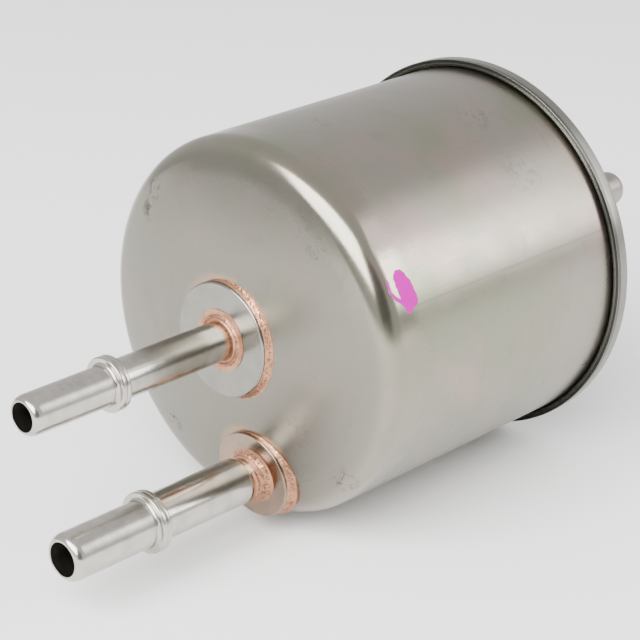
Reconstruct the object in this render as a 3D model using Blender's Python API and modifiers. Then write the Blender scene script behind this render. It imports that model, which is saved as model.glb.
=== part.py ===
"""In-line fuel filter with a built-in pressure regulator, as an assembly of separate pieces.

Units are metres, +Z is up. The can lies along the Y axis: the domed end with the inlet and
return spigots faces -Y, and the seamed rear cover with the outlet spigot faces +Y. The origin
is on the can's axis, half way along its straight side, where a strap bracket holds it.

An outline is a list of (radius, height) points that is turned round its piece's local Z axis.
It runs down the outer side first, so that the faces point outwards.
"""

import math
from dataclasses import dataclass

import bmesh
import bpy
from mathutils import Matrix, Vector

# Can: a drawn cup with a domed front end
CAN_RADIUS = 0.0384
CAN_STRAIGHT = 0.0632          # straight side, from the corner radius to the seam
CAN_WALL = 0.0010
CORNER_RADIUS = 0.0050
DOME_RADIUS = 0.1280
FLANGE_WIDTH = 0.00075         # flange at the open end, caught in the seam
FLANGE_WALL = 0.0008

# Rear cover and its rolled seam
COVER_WALL = 0.0008
COVER_DOME_RADIUS = 0.2100
COUNTERSINK_DEPTH = 0.0040
SEAM_ROUNDING = 0.0004
GASKET_WALL = 0.0004

# Clearances between pieces that meet
FIT_GAP = 0.0003
SEAM_GAP = 0.00025
SNUG_GAP = 0.0002
SPRING_SEAT_GAP = 0.0009       # between the moving spring seat and its cup

# Regulator, in the order in which the fuel leaves it
O_RING_SPACE = 0.0020          # between the return tube and the regulator's neck
NECK_LENGTH = 0.0048
REG_WALL = 0.0008
OUTLET_HOLE_RADIUS = 0.0030
SPRING_CUP_RADIUS = 0.0075
SPRING_CUP_LENGTH = 0.0103
DIAPHRAGM_RADIUS = 0.0116
DIAPHRAGM_WALL = 0.0006
CLAMP_WIDTH = 0.0017
BULGE_HEIGHT = 0.0011
BELL_DEPTH = 0.0022            # room in front of the diaphragm's convolution
CRIMP_LIP = 0.0020
BODY_CUP_LENGTH = 0.0102
BODY_CUP_RADIUS = 0.0085
INLET_HOLE_RADIUS = 0.0013
INLET_HOLE_COUNT = 6
SCREEN_LENGTH = 0.0060
SCREEN_WALL = 0.0005

# Valve: a seat on the diaphragm, closed by a fixed ball
SHANK_RADIUS = 0.0028
SHANK_LENGTH = 0.0040
VALVE_BORE_RADIUS = 0.0014
VALVE_FLANGE_RADIUS = 0.0054
VALVE_FLANGE_WALL = 0.0010
NOSE_RADIUS = 0.0032
NOSE_LENGTH = 0.0010
SEAT_EDGE_RADIUS = 0.0020
BALL_RADIUS = 0.0023812        # a 3/16 inch ball
HOLDER_RADIUS = 0.0034
HOLDER_STEM_RADIUS = 0.0020
HOLDER_STEM_REACH = 0.0008
POCKET_ANGLE = math.radians(75.0)  # of the ball that the holder takes in, from its back
SPRING_SEAT_WALL = 0.0008
SPRING_SEAT_RIM = 0.0010
SPRING_WIRE_RADIUS = 0.0006
SPRING_TURNS = 4.0

# Filter element
FUEL_GAP = 0.0055              # dirty fuel's space between the can and the end caps
CORE_WALL = 0.0006
CORE_HOLE_RADIUS = 0.0016
CORE_HOLE_PITCH = 0.0140
CORE_HOLES_ROUND = 8
PLEAT_COUNT = 36
PLEAT_WALL = 0.0042            # measured along a radius, where the folds lie almost edge on
CAP_WALL = 0.0007
CAP_SKIRT = 0.0045
ELEMENT_FRONT_SPACE = 0.0052   # between the element and the regulator cover's front plate
ELEMENT_REAR_SPACE = 0.0073    # between the element and the rim of the rear cover
GROMMET_WALL = 0.0015
GROMMET_LIP = 0.0018
REAR_GROMMET_WALL = 0.0027
ELEMENT_SPRING_RADIUS = 0.0120
ELEMENT_SPRING_WIRE = 0.0009
ELEMENT_SPRING_TURNS = 2.5

# Numbers of straight sides that stand in for round ones
CAN_SIDES = 32
BOSS_SIDES = 24
TUBE_SIDES = 20
SMALL_SIDES = 16
DRILL_SIDES = 6
O_RING_SIDES = 8
BALL_SIDES = 14
BALL_RINGS = 8
ARC_STEPS = 3
DOME_STEPS = 3
COIL_STEPS = 10                # in one turn

MERGE_DISTANCE = 0.00001
OVERSHOOT = 0.0020             # how far a cutter runs past what it cuts


@dataclass
class Port:
    """A spigot with the boss and braze rings at its foot. Heights are measured outwards."""

    name: str
    tube_radius: float
    bore_radius: float
    bead_radius: float
    reach: float               # tip above the end wall
    bead_height: float         # middle of the bead above the end wall
    neck_step: float           # how much slimmer the tube is below its shoulder, or 0
    neck_length: float         # shoulder above the boss, or 0 for a straight tube
    inner_length: float        # how far the tube goes on inside the wall
    boss_radius: float
    boss_height: float
    boss_lean: float           # how far the boss leans away from the tube's axis
    boss_braze_width: float
    tube_braze_width: float
    tube_braze_height: float

    @property
    def neck_radius(self) -> float:
        """Radius of the tube where it goes through its boss and the wall."""
        return self.tube_radius - self.neck_step


NOSE_LAND = 0.00015            # flat left at the tip's bore
NOSE_DEPTH = 0.0019
BEAD_HALF = 0.0011
BEAD_ROUNDING = 0.0004
BEAD_FILLET = 0.0007
SHOULDER_DEPTH = 0.0009
SHOULDER_BULGE = 0.7           # of the shoulder's step, where it is a third of the way up
BOSS_CHAMFER = 0.0002
BRAZE_WAIST = 0.3              # of a collar's width, at half its height

RETURN_PORT = Port(
    name="return",
    tube_radius=0.00397,
    bore_radius=0.00285,
    bead_radius=0.0054,
    reach=0.0499,
    bead_height=0.0295,
    neck_step=0.0,
    neck_length=0.0,
    inner_length=0.0086,
    boss_radius=0.0116,
    boss_height=0.0010,
    boss_lean=0.0,
    boss_braze_width=0.0011,
    tube_braze_width=0.0022,
    tube_braze_height=0.0021,
)
INLET_PORT = Port(
    name="inlet",
    tube_radius=0.00476,
    bore_radius=0.0034,
    bead_radius=0.00615,
    reach=0.0500,
    bead_height=0.0293,
    neck_step=0.00071,
    neck_length=0.0040,
    inner_length=0.0045,
    boss_radius=0.0090,
    boss_height=0.0016,
    boss_lean=math.radians(6.5),
    boss_braze_width=0.0012,
    tube_braze_width=0.0022,
    tube_braze_height=0.0036,
)
OUTLET_PORT = Port(
    name="outlet",
    tube_radius=0.00397,
    bore_radius=0.00285,
    bead_radius=0.0054,
    reach=0.0492,
    bead_height=0.0288,
    neck_step=0.0,
    neck_length=0.0,
    inner_length=0.0145,
    boss_radius=0.0116,
    boss_height=0.0010,
    boss_lean=0.0,
    boss_braze_width=0.0011,
    tube_braze_width=0.0022,
    tube_braze_height=0.0021,
)
INLET_EDGE = 0.0101            # inlet's axis, in from the can's side
INLET_CLOCK = math.radians(11.6)   # inlet's turn from straight down, towards +X

# Places that follow from the sizes, as positions along the can's axis
CORNER_AT = -CAN_STRAIGHT / 2.0
SEAM_FRONT = CAN_STRAIGHT / 2.0 - SEAM_ROUNDING
FLANGE_FRONT = SEAM_FRONT + COVER_WALL + SEAM_GAP
FLANGE_REAR = FLANGE_FRONT + FLANGE_WALL
GASKET_FRONT = FLANGE_REAR + SEAM_GAP
SEAM_REAR = GASKET_FRONT + GASKET_WALL + SEAM_GAP + COVER_WALL
SEAM_RADIUS = CAN_RADIUS + FLANGE_WIDTH + SNUG_GAP + COVER_WALL
CHUCK_RADIUS = CAN_RADIUS - CAN_WALL - SEAM_GAP
COVER_SINK = SEAM_REAR - COUNTERSINK_DEPTH
DOME_CENTRE = CORNER_AT + math.sqrt(
    (DOME_RADIUS - CORNER_RADIUS) ** 2 - (CAN_RADIUS - CORNER_RADIUS) ** 2
)
DOME_APEX = DOME_CENTRE - DOME_RADIUS
DOME_EDGE_ANGLE = math.asin((CAN_RADIUS - CORNER_RADIUS) / (DOME_RADIUS - CORNER_RADIUS))
COVER_DOME_CENTRE = COVER_SINK - math.sqrt(
    COVER_DOME_RADIUS**2 - (CHUCK_RADIUS - COVER_WALL) ** 2
)
COVER_CROWN = COVER_DOME_CENTRE + COVER_DOME_RADIUS

INLET_OFFSET = CAN_RADIUS - INLET_EDGE
INLET_SEAT = DOME_CENTRE - math.sqrt(DOME_RADIUS**2 - INLET_OFFSET**2)

# Regulator, from the return tube's inner end back
NECK_RADIUS = RETURN_PORT.tube_radius + O_RING_SPACE
TUBE_INNER_END = DOME_APEX + RETURN_PORT.inner_length
PLATE_FRONT = TUBE_INNER_END + FIT_GAP
NECK_FRONT = PLATE_FRONT - NECK_LENGTH
PLATE_REAR = PLATE_FRONT + REG_WALL
CUP_FLANGE_FRONT = PLATE_REAR + SPRING_CUP_LENGTH
CUP_FLANGE_REAR = CUP_FLANGE_FRONT + REG_WALL
DIAPHRAGM_FRONT = CUP_FLANGE_REAR + FIT_GAP
DIAPHRAGM_REAR = DIAPHRAGM_FRONT + DIAPHRAGM_WALL
BODY_FLANGE_FRONT = DIAPHRAGM_REAR + FIT_GAP
BODY_FLANGE_REAR = BODY_FLANGE_FRONT + REG_WALL
BODY_PLATE_FRONT = BODY_FLANGE_REAR + BODY_CUP_LENGTH
BODY_PLATE_REAR = BODY_PLATE_FRONT + REG_WALL
BELL_REAR = CUP_FLANGE_REAR - BELL_DEPTH
BELL_FRONT = BELL_REAR - REG_WALL
BELL_RADIUS = DIAPHRAGM_RADIUS - CLAMP_WIDTH
CRIMP_INNER = DIAPHRAGM_RADIUS + FIT_GAP + SNUG_GAP
CRIMP_OUTER = CRIMP_INNER + REG_WALL
SPRING_SEAT_RADIUS = SPRING_CUP_RADIUS - SPRING_SEAT_GAP

# Valve, from the diaphragm back to the ball
VALVE_FLANGE_FRONT = DIAPHRAGM_REAR + SNUG_GAP
VALVE_FLANGE_REAR = VALVE_FLANGE_FRONT + VALVE_FLANGE_WALL
SEAT_FACE = VALVE_FLANGE_REAR + NOSE_LENGTH
BALL_CENTRE = SEAT_FACE + FIT_GAP + math.sqrt(BALL_RADIUS**2 - (SEAT_EDGE_RADIUS - FIT_GAP) ** 2)
SPRING_SEAT_REAR = DIAPHRAGM_FRONT - SNUG_GAP
SPRING_SEAT_FRONT = SPRING_SEAT_REAR - SPRING_SEAT_WALL

# Element, between the regulator and the rear cover
ELEMENT_FRONT = PLATE_FRONT + ELEMENT_FRONT_SPACE
ELEMENT_REAR = COVER_SINK - ELEMENT_REAR_SPACE
CAP_RADIUS = CAN_RADIUS - CAN_WALL - FUEL_GAP
HUB_RADIUS = CRIMP_OUTER + FIT_GAP + SNUG_GAP
CORE_RADIUS = HUB_RADIUS + CAP_WALL + FIT_GAP
PAPER_INNER = CORE_RADIUS + CORE_WALL + FIT_GAP
PAPER_OUTER = CAP_RADIUS - CAP_WALL - FIT_GAP
FRONT_GROMMET_RADIUS = SPRING_CUP_RADIUS + REG_WALL + FIT_GAP + GROMMET_WALL
REAR_GROMMET_RADIUS = OUTLET_PORT.tube_radius + FIT_GAP + REAR_GROMMET_WALL


def clear_scene():
    """Remove every object, so that the script can be run again."""
    for thing in list(bpy.data.objects):
        bpy.data.objects.remove(thing, do_unlink=True)


def finish(name, colour, roughness, metallic):
    """Make a plain Principled material."""
    material = bpy.data.materials.new(name)
    material.use_nodes = True
    shader = material.node_tree.nodes["Principled BSDF"]
    shader.inputs["Base Color"].default_value = (*colour, 1.0)
    shader.inputs["Roughness"].default_value = roughness
    shader.inputs["Metallic"].default_value = metallic
    return material


def collection(name):
    """Make a collection in the scene."""
    group = bpy.data.collections.new(name)
    bpy.context.scene.collection.children.link(group)
    return group


def frame(name, place, turn, group):
    """Make an empty that carries pieces: a place and a turn for their local Z axis."""
    empty = bpy.data.objects.new(name, None)
    empty.matrix_world = Matrix.Translation(place) @ turn
    group.objects.link(empty)
    return empty


def carried(thing, parent, place=(0.0, 0.0, 0.0)):
    """Put an object on a frame, at a place in that frame."""
    thing.parent = parent
    thing.location = place
    return thing


def turned(name, outline, parent, group, material=None, sides=SMALL_SIDES, closed=True):
    """Turn an outline round its frame's Z axis with a Screw modifier."""
    count = len(outline)
    edges = [(index, index + 1) for index in range(count - 1)]
    if closed:
        edges.append((count - 1, 0))
    mesh = bpy.data.meshes.new(name)
    mesh.from_pydata([(radius, 0.0, height) for radius, height in outline], edges, [])
    thing = bpy.data.objects.new(name, mesh)
    if material:
        mesh.materials.append(material)
    group.objects.link(thing)
    screw = thing.modifiers.new("Turn", "SCREW")
    screw.axis = "Z"
    screw.steps = sides
    screw.render_steps = sides
    screw.use_merge_vertices = True
    screw.merge_threshold = MERGE_DISTANCE
    return carried(thing, parent)


def ring(inner, outer, low, high):
    """Outline of a plain ring between two radii and two heights."""
    return [(outer, high), (outer, low), (inner, low), (inner, high)]


def as_cutter(thing):
    """Mark an object as a cutter, which is left out of the model."""
    thing.hide_render = True
    thing.display_type = "WIRE"
    return thing


def cylinder_cutter(name, radius, low, high, sides, parent, cutters):
    """Cylinder along its frame's Z axis that cuts between two heights."""
    mesh = bpy.data.meshes.new(name)
    shape = bmesh.new()
    bmesh.ops.create_cone(
        shape, cap_ends=True, segments=sides, radius1=radius, radius2=radius, depth=high - low
    )
    shape.to_mesh(mesh)
    shape.free()
    cutter = bpy.data.objects.new(name, mesh)
    cutters.objects.link(cutter)
    return as_cutter(carried(cutter, parent, (0.0, 0.0, (low + high) / 2.0)))


def cut(target, cutter):
    """Take a cutter away from an object."""
    boolean = target.modifiers.new("Cut by " + cutter.name, "BOOLEAN")
    boolean.operation = "DIFFERENCE"
    boolean.solver = "EXACT"
    boolean.object = cutter


def arc(centre_radius, centre_height, size, start, end, steps):
    """Points on an arc, with the angle measured from straight down, towards the outside."""
    points = []
    for step in range(steps + 1):
        angle = start + (end - start) * step / steps
        radius = centre_radius + size * math.sin(angle)
        points.append((radius, centre_height - size * math.cos(angle)))
    return points


def end_surface(offset, inner_radius):
    """The can's domed end and corner, offset outwards, from the straight side to the centre."""
    dome = DOME_RADIUS + offset
    corner = arc(
        CAN_RADIUS - CORNER_RADIUS,
        CORNER_AT,
        CORNER_RADIUS + offset,
        math.pi / 2.0,
        DOME_EDGE_ANGLE,
        ARC_STEPS,
    )
    inner_angle = math.asin(inner_radius / dome)
    return corner + arc(0.0, DOME_CENTRE, dome, DOME_EDGE_ANGLE, inner_angle, DOME_STEPS)[1:]


def cover_surface(offset, inner_radius, outer_radius):
    """The rear cover's panel, offset outwards, from the centre to the outer radius."""
    dome = COVER_DOME_RADIUS + offset
    start = math.pi - math.asin(inner_radius / dome)
    end = math.pi - math.asin(outer_radius / dome)
    return arc(0.0, COVER_DOME_CENTRE, dome, start, end, DOME_STEPS)


def make_can(parent, group, material):
    """Drawn cup with a domed end, a corner radius and a flange at the open end."""
    hole = RETURN_PORT.neck_radius + FIT_GAP
    outside = [
        (CAN_RADIUS + FLANGE_WIDTH, FLANGE_REAR),
        (CAN_RADIUS + FLANGE_WIDTH, FLANGE_FRONT),
        (CAN_RADIUS, FLANGE_FRONT),
    ]
    outside += end_surface(0.0, hole)
    inside = list(reversed(end_surface(-CAN_WALL, hole)))
    inside.append((CAN_RADIUS - CAN_WALL, FLANGE_REAR))
    return turned("housing_can", outside + inside, parent, group, material, CAN_SIDES)


def make_cover(parent, group, material):
    """Pressed end plate whose edge is rolled over the can's flange."""
    hole = OUTLET_PORT.neck_radius + FIT_GAP
    lip_radius = CAN_RADIUS + FIT_GAP
    skirt = SEAM_RADIUS - COVER_WALL
    outline = [
        (SEAM_RADIUS - SEAM_ROUNDING, SEAM_REAR),
        (SEAM_RADIUS, SEAM_REAR - SEAM_ROUNDING),
        (SEAM_RADIUS, SEAM_FRONT + SEAM_ROUNDING),
        (SEAM_RADIUS - SEAM_ROUNDING, SEAM_FRONT),
        (lip_radius, SEAM_FRONT),
        (lip_radius, SEAM_FRONT + COVER_WALL),
        (skirt, SEAM_FRONT + COVER_WALL),
        (skirt, SEAM_REAR - COVER_WALL),
        (CHUCK_RADIUS, SEAM_REAR - COVER_WALL),
        (CHUCK_RADIUS, COVER_SINK - COVER_WALL),
    ]
    outline += reversed(cover_surface(-COVER_WALL, hole, CHUCK_RADIUS - COVER_WALL))
    outline += cover_surface(0.0, hole, CHUCK_RADIUS - COVER_WALL)
    outline.append((CHUCK_RADIUS - COVER_WALL, SEAM_REAR))
    return turned("rear_cover", outline, parent, group, material, CAN_SIDES)


def make_seam_gasket(parent, group, material):
    """Sealing compound between the can's flange and the cover."""
    inner = CAN_RADIUS - CAN_WALL
    outer = CAN_RADIUS + FLANGE_WIDTH
    outline = ring(inner, outer, GASKET_FRONT, GASKET_FRONT + GASKET_WALL)
    return turned("seam_gasket", outline, parent, group, material, CAN_SIDES)


def spigot_outline(port):
    """Outline of a spigot: rounded nose, bead with a fillet in front, shoulder and neck."""
    nose_width = port.tube_radius - port.bore_radius - NOSE_LAND
    outline = []
    for step in range(ARC_STEPS + 1):
        angle = step / ARC_STEPS * math.pi / 2.0
        radius = port.tube_radius - nose_width * (1.0 - math.sin(angle))
        outline.append((radius, port.reach - NOSE_DEPTH * (1.0 - math.cos(angle))))
    top = port.bead_height + BEAD_HALF
    bottom = port.bead_height - BEAD_HALF
    outline += [
        (port.tube_radius, top + BEAD_FILLET),
        (port.tube_radius + BEAD_FILLET / 4.0, top + BEAD_FILLET / 4.0),
        (port.tube_radius + BEAD_FILLET, top),
        (port.bead_radius - BEAD_ROUNDING, top),
        (port.bead_radius, top - BEAD_ROUNDING),
        (port.bead_radius, bottom + BEAD_ROUNDING),
        (port.bead_radius - BEAD_ROUNDING, bottom),
        (port.tube_radius, bottom),
    ]
    if port.neck_length > 0.0:
        shoulder = port.boss_height + port.neck_length
        outline += [
            (port.tube_radius, shoulder + SHOULDER_DEPTH),
            (port.neck_radius + SHOULDER_BULGE * port.neck_step, shoulder + SHOULDER_DEPTH / 3.0),
            (port.neck_radius, shoulder),
        ]
    outline += [
        (port.neck_radius, -port.inner_length),
        (port.bore_radius, -port.inner_length),
        (port.bore_radius, port.reach),
    ]
    return outline


def underside(port, wall_dome, radius):
    """Height of a piece's underside at a radius: on the wall, or, to be cut there, below it."""
    if port.boss_lean:
        return -port.boss_radius / 2.0
    return math.sqrt(wall_dome**2 - radius**2) - wall_dome + FIT_GAP


def boss_outline(port, wall_dome):
    """Outline of a boss: a flat disc with a hole for the tube, seated on the wall."""
    hole = port.neck_radius + FIT_GAP
    return [
        (port.boss_radius - BOSS_CHAMFER, port.boss_height),
        (port.boss_radius, port.boss_height - BOSS_CHAMFER),
        (port.boss_radius, underside(port, wall_dome, port.boss_radius)),
        (hole, underside(port, wall_dome, hole)),
        (hole, port.boss_height),
    ]


def boss_braze_outline(port, wall_dome):
    """Outline of the braze fillet round a boss."""
    inner = port.boss_radius + FIT_GAP
    outer = inner + port.boss_braze_width
    top = port.boss_height - BOSS_CHAMFER
    foot = underside(port, wall_dome, outer) + BOSS_CHAMFER
    if port.boss_lean:
        foot = BOSS_CHAMFER + FIT_GAP
    return [
        (inner + BOSS_CHAMFER, top),
        ((inner + outer) / 2.0, (top + foot) / 2.0 - BOSS_CHAMFER / 2.0),
        (outer, foot),
        (outer, underside(port, wall_dome, outer)),
        (inner, underside(port, wall_dome, inner)),
        (inner, top),
    ]


def tube_braze_outline(port):
    """Outline of the braze fillet between a boss and its tube."""
    inner = port.neck_radius + FIT_GAP
    outer = inner + port.tube_braze_width
    low = port.boss_height + FIT_GAP
    foot = low + BOSS_CHAMFER
    top = port.boss_height + port.tube_braze_height
    if port.boss_lean:
        low = port.boss_height - OVERSHOOT
        foot += BOSS_CHAMFER
    return [
        (inner + BOSS_CHAMFER, top),
        (inner + port.tube_braze_width * BRAZE_WAIST, (foot + top) / 2.0),
        (outer, foot),
        (outer, low),
        (inner, low),
        (inner, top),
    ]


def make_port(port, place, turn, wall_dome, group, finishes):
    """Build a spigot, its boss and its two braze rings, all turned round the tube's axis."""
    seat = frame(port.name + "_port", place, turn, group)
    steel = finishes["spigot"]
    copper = finishes["braze"]
    turned(port.name + "_spigot", spigot_outline(port), seat, group, steel, TUBE_SIDES)
    collar = tube_braze_outline(port)
    turned(port.name + "_spigot_braze", collar, seat, group, copper, TUBE_SIDES)
    disc = boss_outline(port, wall_dome)
    turned(port.name + "_boss", disc, seat, group, finishes["boss"], BOSS_SIDES)
    fillet = boss_braze_outline(port, wall_dome)
    turned(port.name + "_boss_braze", fillet, seat, group, copper, BOSS_SIDES)
    return seat


def lean_boss(port, seat, lean_axis, envelope, wall, group, cutters):
    """Lean a port's boss off the tube's axis, trim what meets it and drill the end wall."""
    turn = seat.matrix_world.to_3x3().to_4x4() @ Matrix.Rotation(port.boss_lean, 4, lean_axis)
    leaning = frame(port.name + "_boss_seat", seat.matrix_world.translation, turn, group)
    boss = bpy.data.objects[port.name + "_boss"]
    braze = bpy.data.objects[port.name + "_boss_braze"]
    collar = bpy.data.objects[port.name + "_spigot_braze"]
    boss.parent = leaning
    braze.parent = leaning
    cut(boss, envelope)
    cut(braze, envelope)
    reach = port.boss_radius
    hole = port.neck_radius + FIT_GAP
    drill = cylinder_cutter("tube_passage", hole, -reach, reach, TUBE_SIDES, seat, cutters)
    cut(boss, drill)
    cut(wall, drill)
    face = port.boss_height + FIT_GAP
    disc = reach + OVERSHOOT
    cut(collar, cylinder_cutter("boss_face", disc, -reach, face, TUBE_SIDES, leaning, cutters))


def make_envelope(parent, cutters):
    """Solid that stands for the can's domed end, with the clearance that pieces on it keep."""
    depth = CORNER_AT + CORNER_RADIUS + OVERSHOOT
    surface = end_surface(FIT_GAP, 0.0)
    outline = [(0.0, depth), (surface[0][0], depth)] + surface
    return as_cutter(turned("end_envelope", outline, parent, cutters, None, CAN_SIDES, False))


def make_regulator_cover(parent, group, material):
    """Drawn cup that holds the spring, with a neck round the return tube."""
    neck = NECK_RADIUS + REG_WALL
    cup = SPRING_CUP_RADIUS + REG_WALL
    outline = [
        (DIAPHRAGM_RADIUS, CUP_FLANGE_REAR),
        (DIAPHRAGM_RADIUS, CUP_FLANGE_FRONT),
        (BELL_RADIUS + REG_WALL, CUP_FLANGE_FRONT),
        (BELL_RADIUS + REG_WALL, BELL_FRONT),
        (cup, BELL_FRONT),
        (cup, PLATE_FRONT),
        (neck, PLATE_FRONT),
        (neck, NECK_FRONT),
        (NECK_RADIUS, NECK_FRONT),
        (NECK_RADIUS, PLATE_FRONT),
        (OUTLET_HOLE_RADIUS, PLATE_FRONT),
        (OUTLET_HOLE_RADIUS, PLATE_REAR),
        (SPRING_CUP_RADIUS, PLATE_REAR),
        (SPRING_CUP_RADIUS, BELL_REAR),
        (BELL_RADIUS, BELL_REAR),
        (BELL_RADIUS, CUP_FLANGE_REAR),
    ]
    return turned("regulator_cover", outline, parent, group, material, SMALL_SIDES)


def make_regulator_body(parent, group, cutters, material):
    """Drawn cup on the fuel's side, crimped round the cover's flange, with inlet holes."""
    lip_rear = CUP_FLANGE_FRONT - FIT_GAP
    lip_front = lip_rear - REG_WALL
    lip_radius = CRIMP_OUTER - CRIMP_LIP
    cup = BODY_CUP_RADIUS + REG_WALL
    stem_hole = HOLDER_STEM_RADIUS + FIT_GAP
    outline = [
        (CRIMP_OUTER, BODY_FLANGE_REAR),
        (CRIMP_OUTER, lip_front),
        (lip_radius, lip_front),
        (lip_radius, lip_rear),
        (CRIMP_INNER, lip_rear),
        (CRIMP_INNER, BODY_FLANGE_FRONT),
        (BODY_CUP_RADIUS, BODY_FLANGE_FRONT),
        (BODY_CUP_RADIUS, BODY_PLATE_FRONT),
        (stem_hole, BODY_PLATE_FRONT),
        (stem_hole, BODY_PLATE_REAR),
        (cup, BODY_PLATE_REAR),
        (cup, BODY_FLANGE_REAR),
    ]
    body = turned("regulator_body", outline, parent, group, material, SMALL_SIDES)
    hole_height = BODY_PLATE_FRONT - SCREEN_LENGTH / 2.0
    for index in range(INLET_HOLE_COUNT // 2):
        angle = math.tau * (index + 0.5) / INLET_HOLE_COUNT
        name = "inlet_drill_%d" % index
        cut(body, radial_drill(name, INLET_HOLE_RADIUS, cup, angle, hole_height, parent, cutters))
    return body


def radial_drill(name, radius, length, angle, height, parent, cutters):
    """Cylinder cutter that lies across the axis and drills two holes that face each other."""
    reach = length + OVERSHOOT
    drill = cylinder_cutter(name, radius, -reach, reach, DRILL_SIDES, parent, cutters)
    drill.location = (0.0, 0.0, height)
    drill.rotation_euler = (math.pi / 2.0, 0.0, angle)
    return drill


def make_screen(parent, group, material):
    """Strainer sleeve round the regulator's inlet holes."""
    inner = BODY_CUP_RADIUS + REG_WALL + FIT_GAP
    low = BODY_PLATE_FRONT - SCREEN_LENGTH
    outline = ring(inner, inner + SCREEN_WALL, low, BODY_PLATE_FRONT)
    return turned("regulator_screen", outline, parent, group, material, SMALL_SIDES)


def make_o_ring(parent, group, material):
    """O-ring between the return tube and the regulator's neck."""
    bpy.ops.mesh.primitive_torus_add(
        major_segments=SMALL_SIDES,
        minor_segments=O_RING_SIDES,
        major_radius=RETURN_PORT.tube_radius + O_RING_SPACE / 2.0,
        minor_radius=(O_RING_SPACE - FIT_GAP) / 2.0,
    )
    seal = bpy.context.active_object
    seal.name = "regulator_o_ring"
    seal.data.name = seal.name
    seal.data.materials.append(material)
    seal.data.shade_smooth()
    for holder in list(seal.users_collection):
        holder.objects.unlink(seal)
    group.objects.link(seal)
    return carried(seal, parent, (0.0, 0.0, (NECK_FRONT + TUBE_INNER_END) / 2.0))


def make_diaphragm(parent, group, material):
    """Rubberised fabric disc with one convolution, clamped at its edge."""
    inner = SHANK_RADIUS + SNUG_GAP
    bulge_in = SPRING_SEAT_RADIUS + FIT_GAP
    bulge_out = BELL_RADIUS
    middle = (bulge_in + bulge_out) / 2.0
    front = [
        (DIAPHRAGM_RADIUS, DIAPHRAGM_FRONT),
        (bulge_out, DIAPHRAGM_FRONT),
        (middle, DIAPHRAGM_FRONT - BULGE_HEIGHT),
        (bulge_in, DIAPHRAGM_FRONT),
        (inner, DIAPHRAGM_FRONT),
    ]
    rear = [(radius, height + DIAPHRAGM_WALL) for radius, height in reversed(front)]
    return turned("regulator_diaphragm", front + rear, parent, group, material, SMALL_SIDES)


def make_valve_carrier(parent, group, material):
    """Turned piece through the diaphragm: flange, shank, bore and the valve seat."""
    top = SEAT_FACE
    outline = [
        (SEAT_EDGE_RADIUS, top),
        (NOSE_RADIUS, top),
        (NOSE_RADIUS, VALVE_FLANGE_REAR),
        (VALVE_FLANGE_RADIUS, VALVE_FLANGE_REAR),
        (VALVE_FLANGE_RADIUS, VALVE_FLANGE_FRONT),
        (SHANK_RADIUS, VALVE_FLANGE_FRONT),
        (SHANK_RADIUS, VALVE_FLANGE_FRONT - SHANK_LENGTH),
        (VALVE_BORE_RADIUS, VALVE_FLANGE_FRONT - SHANK_LENGTH),
        (VALVE_BORE_RADIUS, top - (SEAT_EDGE_RADIUS - VALVE_BORE_RADIUS)),
    ]
    return turned("valve_carrier", outline, parent, group, material, SMALL_SIDES)


def make_spring_seat(parent, group, material):
    """Cupped washer that is riveted on the carrier's shank and takes the spring."""
    inner = SHANK_RADIUS + SNUG_GAP
    rim = SPRING_SEAT_RADIUS - SPRING_SEAT_WALL
    outline = [
        (SPRING_SEAT_RADIUS, SPRING_SEAT_REAR),
        (SPRING_SEAT_RADIUS, SPRING_SEAT_FRONT - SPRING_SEAT_RIM),
        (rim, SPRING_SEAT_FRONT - SPRING_SEAT_RIM),
        (rim, SPRING_SEAT_FRONT),
        (inner, SPRING_SEAT_FRONT),
        (inner, SPRING_SEAT_REAR),
    ]
    return turned("spring_seat", outline, parent, group, material, SMALL_SIDES)


def make_ball(parent, group, material):
    """Ball that closes the valve."""
    mesh = bpy.data.meshes.new("valve_ball")
    shape = bmesh.new()
    bmesh.ops.create_uvsphere(shape, u_segments=BALL_SIDES, v_segments=BALL_RINGS, radius=BALL_RADIUS)
    shape.to_mesh(mesh)
    shape.free()
    mesh.shade_smooth()
    mesh.materials.append(material)
    ball = bpy.data.objects.new("valve_ball", mesh)
    group.objects.link(ball)
    return carried(ball, parent, (0.0, 0.0, BALL_CENTRE))


def make_ball_holder(parent, group, material):
    """Turned pedestal with a round pocket, pressed into the regulator's body."""
    pocket = BALL_RADIUS + FIT_GAP
    collar = BODY_PLATE_FRONT - FIT_GAP
    outline = [
        (0.0, BODY_PLATE_REAR + HOLDER_STEM_REACH),
        (HOLDER_STEM_RADIUS, BODY_PLATE_REAR + HOLDER_STEM_REACH),
        (HOLDER_STEM_RADIUS, collar),
        (HOLDER_RADIUS, collar),
        (HOLDER_RADIUS, BALL_CENTRE + pocket * math.cos(POCKET_ANGLE)),
    ]
    outline += arc(0.0, BALL_CENTRE, pocket, math.pi - POCKET_ANGLE, math.pi, ARC_STEPS)
    return turned("ball_holder", outline, parent, group, material, SMALL_SIDES, False)


def coil(name, radius, wire, low, high, turns, parent, group, material):
    """Coil spring along the frame's Z axis, from one height to another, wire included."""
    steps = int(turns * COIL_STEPS)
    curve = bpy.data.curves.new(name, "CURVE")
    curve.dimensions = "3D"
    curve.bevel_depth = wire
    curve.bevel_resolution = 2
    curve.use_fill_caps = True
    spline = curve.splines.new("POLY")
    spline.points.add(steps)
    for step in range(steps + 1):
        angle = math.tau * step / COIL_STEPS
        height = low + wire + (high - low - 2.0 * wire) * step / steps
        point = (radius * math.cos(angle), radius * math.sin(angle), height, 1.0)
        spline.points[step].co = point
    curve.materials.append(material)
    thing = bpy.data.objects.new(name, curve)
    group.objects.link(thing)
    return carried(thing, parent)


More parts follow.
